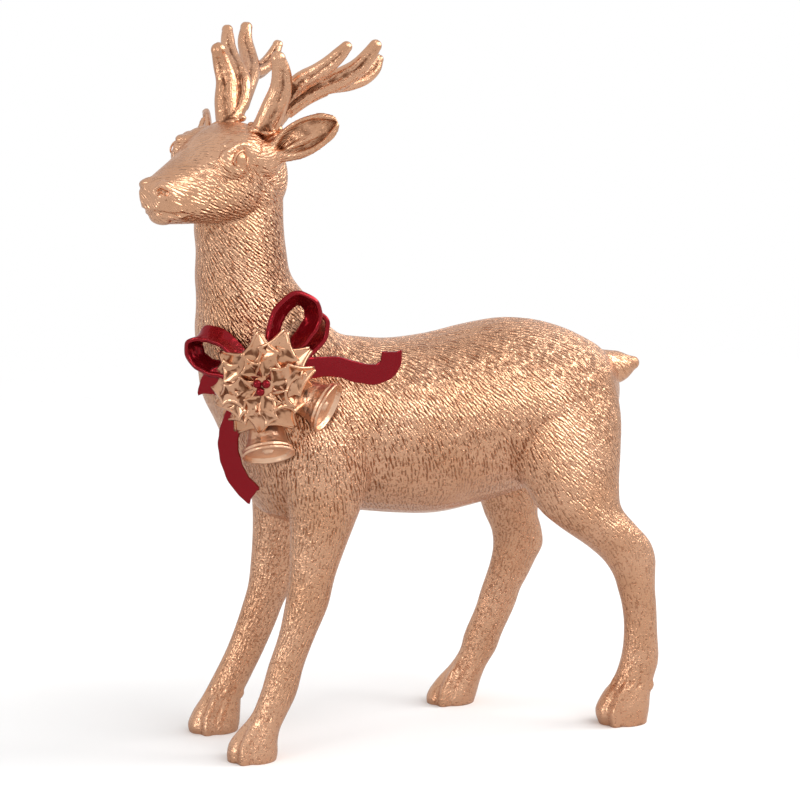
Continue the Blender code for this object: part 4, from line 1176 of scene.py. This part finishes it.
def berries(grid, spray):
    """Three round berries."""
    tree = BVHTree.FromObject(spray, bpy.context.evaluated_depsgraph_get())
    inward = (grid.to_3x3() @ -UP).normalized()
    radius = BERRY_DIAMETER / 2
    solids = []
    for across, up in BERRIES:
        above = grid @ Vector((across * BERRY_DIAMETER, up * BERRY_DIAMETER, BOW_SPAN))
        hit = tree.ray_cast(above, inward)[0]
        solids.append(ball(hit - inward * (radius - BERRY_SINK * BERRY_DIAMETER), (radius,) * 3))
    three = fuse("berries", solids, BERRY_DIAMETER / 24)
    relax(three.data, 6, 0.6)
    mark_hollows(three.data, 10, 0.1 * BOW_GRID)
    return three


def link(tree, source, output, target, socket):
    """Join two nodes."""
    tree.links.new(source.outputs[output], target.inputs[socket])


def feed(tree, source, target, socket):
    """Give a socket a number, a node's first output, or the output of a node that is named with it."""
    if isinstance(source, (int, float)):
        target.inputs[socket].default_value = source
    elif isinstance(source, tuple):
        link(tree, *source, target, socket)
    else:
        link(tree, source, 0, target, socket)


def settle(node, **values):
    """Give a node's sockets their values."""
    for name, value in values.items():
        node.inputs[name.replace("_", " ")].default_value = value


def spread(tree, low, high, source, rises=True):
    """Spread a value from low to high over nought to one."""
    node = tree.nodes.new("ShaderNodeMapRange")
    node.interpolation_type = "SMOOTHSTEP"
    settle(node, From_Min=low, From_Max=high, To_Min=0 if rises else 1, To_Max=1 if rises else 0)
    feed(tree, source, node, "Value")
    return node


def calculate(tree, kind, first, second):
    """A Math node of two sources."""
    node = tree.nodes.new("ShaderNodeMath")
    node.operation = kind
    feed(tree, first, node, 0)
    feed(tree, second, node, 1)
    return node


def product(tree, first, *others):
    """The product of sources."""
    for other in others:
        first = calculate(tree, "MULTIPLY", first, other)
    return first


def weighed_sum(tree, *terms):
    """The sum of products, each given as its sources."""
    whole = product(tree, *terms[0])
    for term in terms[1:]:
        whole = calculate(tree, "ADD", whole, product(tree, *term))
    return whole


def noise(tree, coordinates, scale, detail):
    """A Noise Texture in object space."""
    node = tree.nodes.new("ShaderNodeTexNoise")
    settle(node, Scale=scale, Detail=detail)
    link(tree, coordinates, "Object", node, "Vector")
    return node


def kept(tree, name):
    """The node that reads what is kept for each vertex."""
    node = tree.nodes.new("ShaderNodeAttribute")
    node.attribute_name = name
    return node


def new_group(name, inputs, output):
    """A shader group with numbers in and one out, its two ends and its coordinates."""
    group = bpy.data.node_groups.new(name, "ShaderNodeTree")
    for socket, way in (*((socket, "INPUT") for socket in inputs), (output, "OUTPUT")):
        group.interface.new_socket(socket, in_out=way, socket_type="NodeSocketFloat")
    ends = [group.nodes.new(kind) for kind in ("NodeGroupInput", "NodeGroupOutput", "ShaderNodeTexCoord")]
    return group, *ends


def strokes_group():
    """The height of carved strokes that run along the figure."""
    group, enter, leave, coordinates = new_group("carved_strokes", ("Scale", "Frequency"), "Height")
    wave = group.nodes.new("ShaderNodeTexGabor")
    wave.gabor_type = "3D"
    settle(wave, Anisotropy=1)
    link(group, coordinates, "Object", wave, "Vector")
    link(group, enter, "Scale", wave, "Scale")
    link(group, enter, "Frequency", wave, "Frequency")
    link(group, kept(group, "across"), "Vector", wave, "Orientation")
    link(group, wave, "Value", leave, "Height")
    return group


def wash_and_shade_group():
    """Where the dark goes: wash in the hollows, painted shade there too, and specks."""
    group, enter, leave, coordinates = new_group("wash_and_painted_shade", ("Speck Scale", "Specks"), "Wash And Shade")
    hollow = (kept(group, "hollow"), "Fac")
    cloud = noise(group, coordinates, 300, 4)
    speck = group.nodes.new("ShaderNodeTexNoise")
    link(group, enter, "Speck Scale", speck, "Scale")
    link(group, coordinates, "Object", speck, "Vector")
    uneven = product(group, calculate(group, "SUBTRACT", cloud, 0.5), 1.6)
    deep = spread(group, 0.12, 0.95, calculate(group, "ADD", hollow, uneven))
    # The hollows' dark: partly wash, partly painted shade between parts and round the ornaments' feet
    hollow_wash_and_shade = product(group, deep, spread(group, 0.02, 0.3, hollow))
    spotted = product(group, spread(group, 0.68, 0.76, speck), (enter, "Specks"))
    link(group, calculate(group, "MAXIMUM", hollow_wash_and_shade, spotted), 0, leave, "Wash And Shade")
    return group


def blend_colours(tree, first, second, mask):
    """A colour between a plain one, or a node's, and a plain one by a mask."""
    node = tree.nodes.new("ShaderNodeMix")
    node.data_type = "RGBA"
    link(tree, mask, 0, node, "Factor")
    if isinstance(first, tuple):
        node.inputs["A"].default_value = (*first, 1)
    else:
        link(tree, first, "Result", node, "A")
    node.inputs["B"].default_value = (*second, 1)
    return node


def placed_group(tree, group, **values):
    """Put a node group into a material with its own values."""
    node = tree.nodes.new("ShaderNodeGroup")
    node.node_tree = group
    settle(node, **values)
    return node


def new_finish(name):
    """A material with its shader and coordinates."""
    finish = bpy.data.materials.new(name)
    finish.use_nodes = True
    tree = finish.node_tree
    return finish, tree, tree.nodes["Principled BSDF"], tree.nodes.new("ShaderNodeTexCoord")


def raise_surface(tree, height, distance, shader):
    """Let a height move the surface that the shader sees."""
    bump = tree.nodes.new("ShaderNodeBump")
    settle(bump, Strength=1, Distance=distance)
    link(tree, height, 0, bump, "Height")
    link(tree, bump, "Normal", shader, "Normal")


def fur_gold(strokes, wash_and_shade):
    """Copper-gold paint over carved fur, with brown left in the grooves and pits."""
    finish, tree, shader, coordinates = new_finish("fur_gold")
    fur, stain, pitted = [(kept(tree, name), "Fac") for name in ("fur", "stain", "pits")]
    fine = placed_group(tree, strokes, Scale=600, Frequency=1.7)
    coarse = placed_group(tree, strokes, Scale=410, Frequency=1.75)
    broken = noise(tree, coordinates, 620, 2)
    clumps = noise(tree, coordinates, 170, 2)
    grain = noise(tree, coordinates, 1100, 2)
    patches = noise(tree, coordinates, 45, 3)
    carved = weighed_sum(tree, (fine, 0.42), (coarse, 0.58))
    edge = spread(tree, 0.37, 0.46, carved, rises=False)
    cut = spread(tree, 0.36, 0.52, broken)
    pits = product(tree, spread(tree, 0.58, 0.66, grain), pitted)
    grooves = calculate(tree, "MAXIMUM", product(tree, edge, cut, spread(tree, 0.0, 0.8, stain)), pits)
    colour = blend_colours(tree, GOLD_LIGHT, GOLD_WARM, spread(tree, 0.35, 0.65, patches))
    colour = blend_colours(tree, colour, GOLD_GROOVE, grooves)
    # Dark of the wash, and painted shade, in the hollows
    aged_and_shaded = placed_group(tree, wash_and_shade, Speck_Scale=SPECK_SCALE, Specks=0.6)
    link(tree, blend_colours(tree, colour, GOLD_DARK, aged_and_shaded), "Result", shader, "Base Color")
    rough = calculate(tree, "ADD", product(tree, pitted, 0.3), 0.05)
    relief = weighed_sum(tree, (carved, fur), (clumps, 0.12), (broken, 0.05), (grain, rough), (grooves, -0.3))
    raise_surface(tree, relief, 0.0021, shader)
    settle(shader, Metallic=0.97, Roughness=0.25)
    return finish


def smooth_gold(name, wash_and_shade, roughness, ripple, light=GOLD_LIGHT, warm=GOLD_WARM):
    """The same paint on smooth castings."""
    finish, tree, shader, coordinates = new_finish(name)
    colour = blend_colours(tree, light, warm, spread(tree, 0.35, 0.65, noise(tree, coordinates, 90, 3)))
    # Dark of the wash, and painted shade, in the hollows
    aged_and_shaded = placed_group(tree, wash_and_shade, Speck_Scale=SPECK_SCALE, Specks=0.5)
    link(tree, blend_colours(tree, colour, GOLD_DARK, aged_and_shaded), "Result", shader, "Base Color")
    raise_surface(tree, noise(tree, coordinates, 700, 3), ripple, shader)
    settle(shader, Metallic=0.92, Roughness=roughness)
    return finish


def lacquer(name, wash_and_shade):
    """Deep red lacquer over metallic paint, darker in the hollows, partly as painted shade."""
    finish, tree, shader, coordinates = new_finish(name)
    aged_and_shaded = placed_group(tree, wash_and_shade, Speck_Scale=500, Specks=0.1)
    link(tree, blend_colours(tree, RED_LIGHT, RED_DARK, aged_and_shaded), "Result", shader, "Base Color")
    raise_surface(tree, noise(tree, coordinates, 300, 2), 0.0005, shader)
    settle(shader, Metallic=0.75, Specular_IOR_Level=0.3, Roughness=0.22)
    settle(shader, Coat_Weight=0.15, Coat_Roughness=0.06)
    return finish


def stand_offset():
    """How far the figure's grid lies from the model's frame, read off the near fore sole."""
    points = positions(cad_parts["deer_body"].data)
    sole = points[(points[:, 2] < 0.00001) & (points[:, 0] < 0) & (points[:, 1] < 0)]
    middle = (sole.min(axis=0) + sole.max(axis=0)) / 2
    x, y = HOOVES[0]
    return Vector((middle[0] - x * GRID, middle[1] - y * GRID, -GROUND * GRID))


def show(piece, look, slot, *nodes):
    """Finish a piece and let it stand for its nodes."""
    piece.data.materials.clear()
    piece.data.materials.append(look)
    piece.data.shade_smooth()
    piece.data.transform(Matrix.Translation(offset))
    if nodes:
        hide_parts(*nodes)
    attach(piece, "root")


def floor():
    """A plain pale floor that fades into the surround."""
    mesh = bpy.data.meshes.new("floor")
    shape = bmesh.new()
    bmesh.ops.create_circle(shape, cap_ends=True, segments=96, radius=FLOOR_REACH)
    shape.to_mesh(mesh)
    shape.free()
    ground = new_object("floor", mesh)
    finish, tree, shader, coordinates = new_finish("pale_floor")
    reach = tree.nodes.new("ShaderNodeVectorMath")
    reach.operation = "LENGTH"
    link(tree, coordinates, "Object", reach, "Vector")
    fade = spread(tree, 0.3 * FLOOR_REACH, FLOOR_REACH, (reach, "Value"), rises=False)
    link(tree, fade, 0, shader, "Alpha")
    tone = blend_colours(tree, FLOOR_LIT, FLOOR_SEEN, tree.nodes.new("ShaderNodeLightPath"))
    link(tree, tone, "Result", shader, "Base Color")
    settle(shader, Roughness=0.9)
    mesh.materials.append(finish)


def surround():
    """A white backdrop whose light on the figure is soft and comes mostly from above."""
    world = bpy.data.worlds.new("surround")
    bpy.context.scene.world = world
    world.use_nodes = True
    tree = world.node_tree
    coordinates = tree.nodes.new("ShaderNodeTexCoord")
    parts = tree.nodes.new("ShaderNodeSeparateXYZ")
    link(tree, coordinates, "Generated", parts, "Vector")
    dome = spread(tree, -0.2, 0.9, (parts, "Z"))
    settle(dome, To_Min=DOME_LOW, To_Max=DOME_HIGH)
    path = tree.nodes.new("ShaderNodeLightPath")
    background = tree.nodes["Background"]
    link(tree, calculate(tree, "MAXIMUM", dome, (path, "Is Camera Ray")), 0, background, "Strength")
    settle(background, Color=(1, 1, 1, 1))


def aimed(holder, spot, target):
    """Stand a camera or a light at a spot and turn it to look at a target."""
    holder.location = spot
    holder.rotation_euler = (target - spot).to_track_quat("-Z", "Y").to_euler()


def soft_light(name, spot, size, power):
    """A square soft box aimed at the figure's middle."""
    lamp = bpy.data.lights.new(name, "AREA")
    lamp.shape = "SQUARE"
    lamp.size = size
    lamp.energy = power
    aimed(new_object(name, lamp), Vector(spot), Vector(LIGHT_AIM))


def studio():
    """Camera and lights."""
    camera = bpy.data.cameras.new("camera")
    camera.lens = CAMERA_LENS
    camera.sensor_width = 36
    holder = new_object("camera", camera)
    turn = math.radians(CAMERA_TURN)
    spot = Vector((CAMERA_DISTANCE * math.sin(turn), -CAMERA_DISTANCE * math.cos(turn), CAMERA_HEIGHT))
    aimed(holder, spot + offset, Vector(CAMERA_AIM) + offset)
    bpy.context.scene.camera = holder
    for row in SOFT_LIGHTS:
        soft_light(*row)
    bpy.context.scene.view_settings.view_transform = "Standard"


offset = stand_offset()
strokes = strokes_group()
wash_and_shade = wash_and_shade_group()
skin = fine_body()
grid = bow_frame(skin)
bow = ribbon_bow(grid)
leaf_look = smooth_gold("leaf_paint", wash_and_shade, 0.22, 0.00003)
spray_grid = grid @ Matrix.Translation((0, SPRAY_LIFT * BOW_GRID, 0))
spray = holly_spray(spray_grid, leaf_look)
cluster = berries(spray_grid, spray)
eye_pair = eyes(skin)
antlers = [antler("antler_near", -1), antler("antler_far", 1)]
bells = [bell("bell_low", grid, FRONT_BELL), bell("bell_rear", grid, SIDE_BELL)]
around = shade_tree([skin, bow, spray, *bells])
for piece in (bow, spray):
    deepen_shade(piece.data, around, 5)
# Painted shade on the body round the foot of the ribbon, the leaves and the bells
paint_shade_beside(skin.data, shade_tree([bow, spray, *bells]), 2.2)
body_look = fur_gold(strokes, wash_and_shade)
# The bells take the brighter copy of the gold, as painted light
bell_look = smooth_gold("bell_paint_with_painted_light", wash_and_shade, 0.3, 0.0003, GOLD_BELL_PAINTED_LIGHT, GOLD_LIGHT)
eye_look = smooth_gold("eye_paint", wash_and_shade, 0.28, 0.00005)
ribbon_look = lacquer("ribbon_lacquer", wash_and_shade)
berry_look = lacquer("berry_lacquer", wash_and_shade)
show(skin, body_look, "body_gold", "deer_body")
show(eye_pair, eye_look, "body_gold")
show(antlers[0], body_look, "antler_gold", "antler_left")
show(antlers[1], body_look, "antler_gold", "antler_right")
show(bow, ribbon_look, "ribbon_red", "ribbon_bow")
show(spray, leaf_look, "leaf_gold", "holly_spray")
show(cluster, berry_look, "berry_red", "holly_berries")
show(bells[0], bell_look, "bell_gold", "bell_front")
show(bells[1], bell_look, "bell_gold", "bell_side")
floor()
surround()
studio()
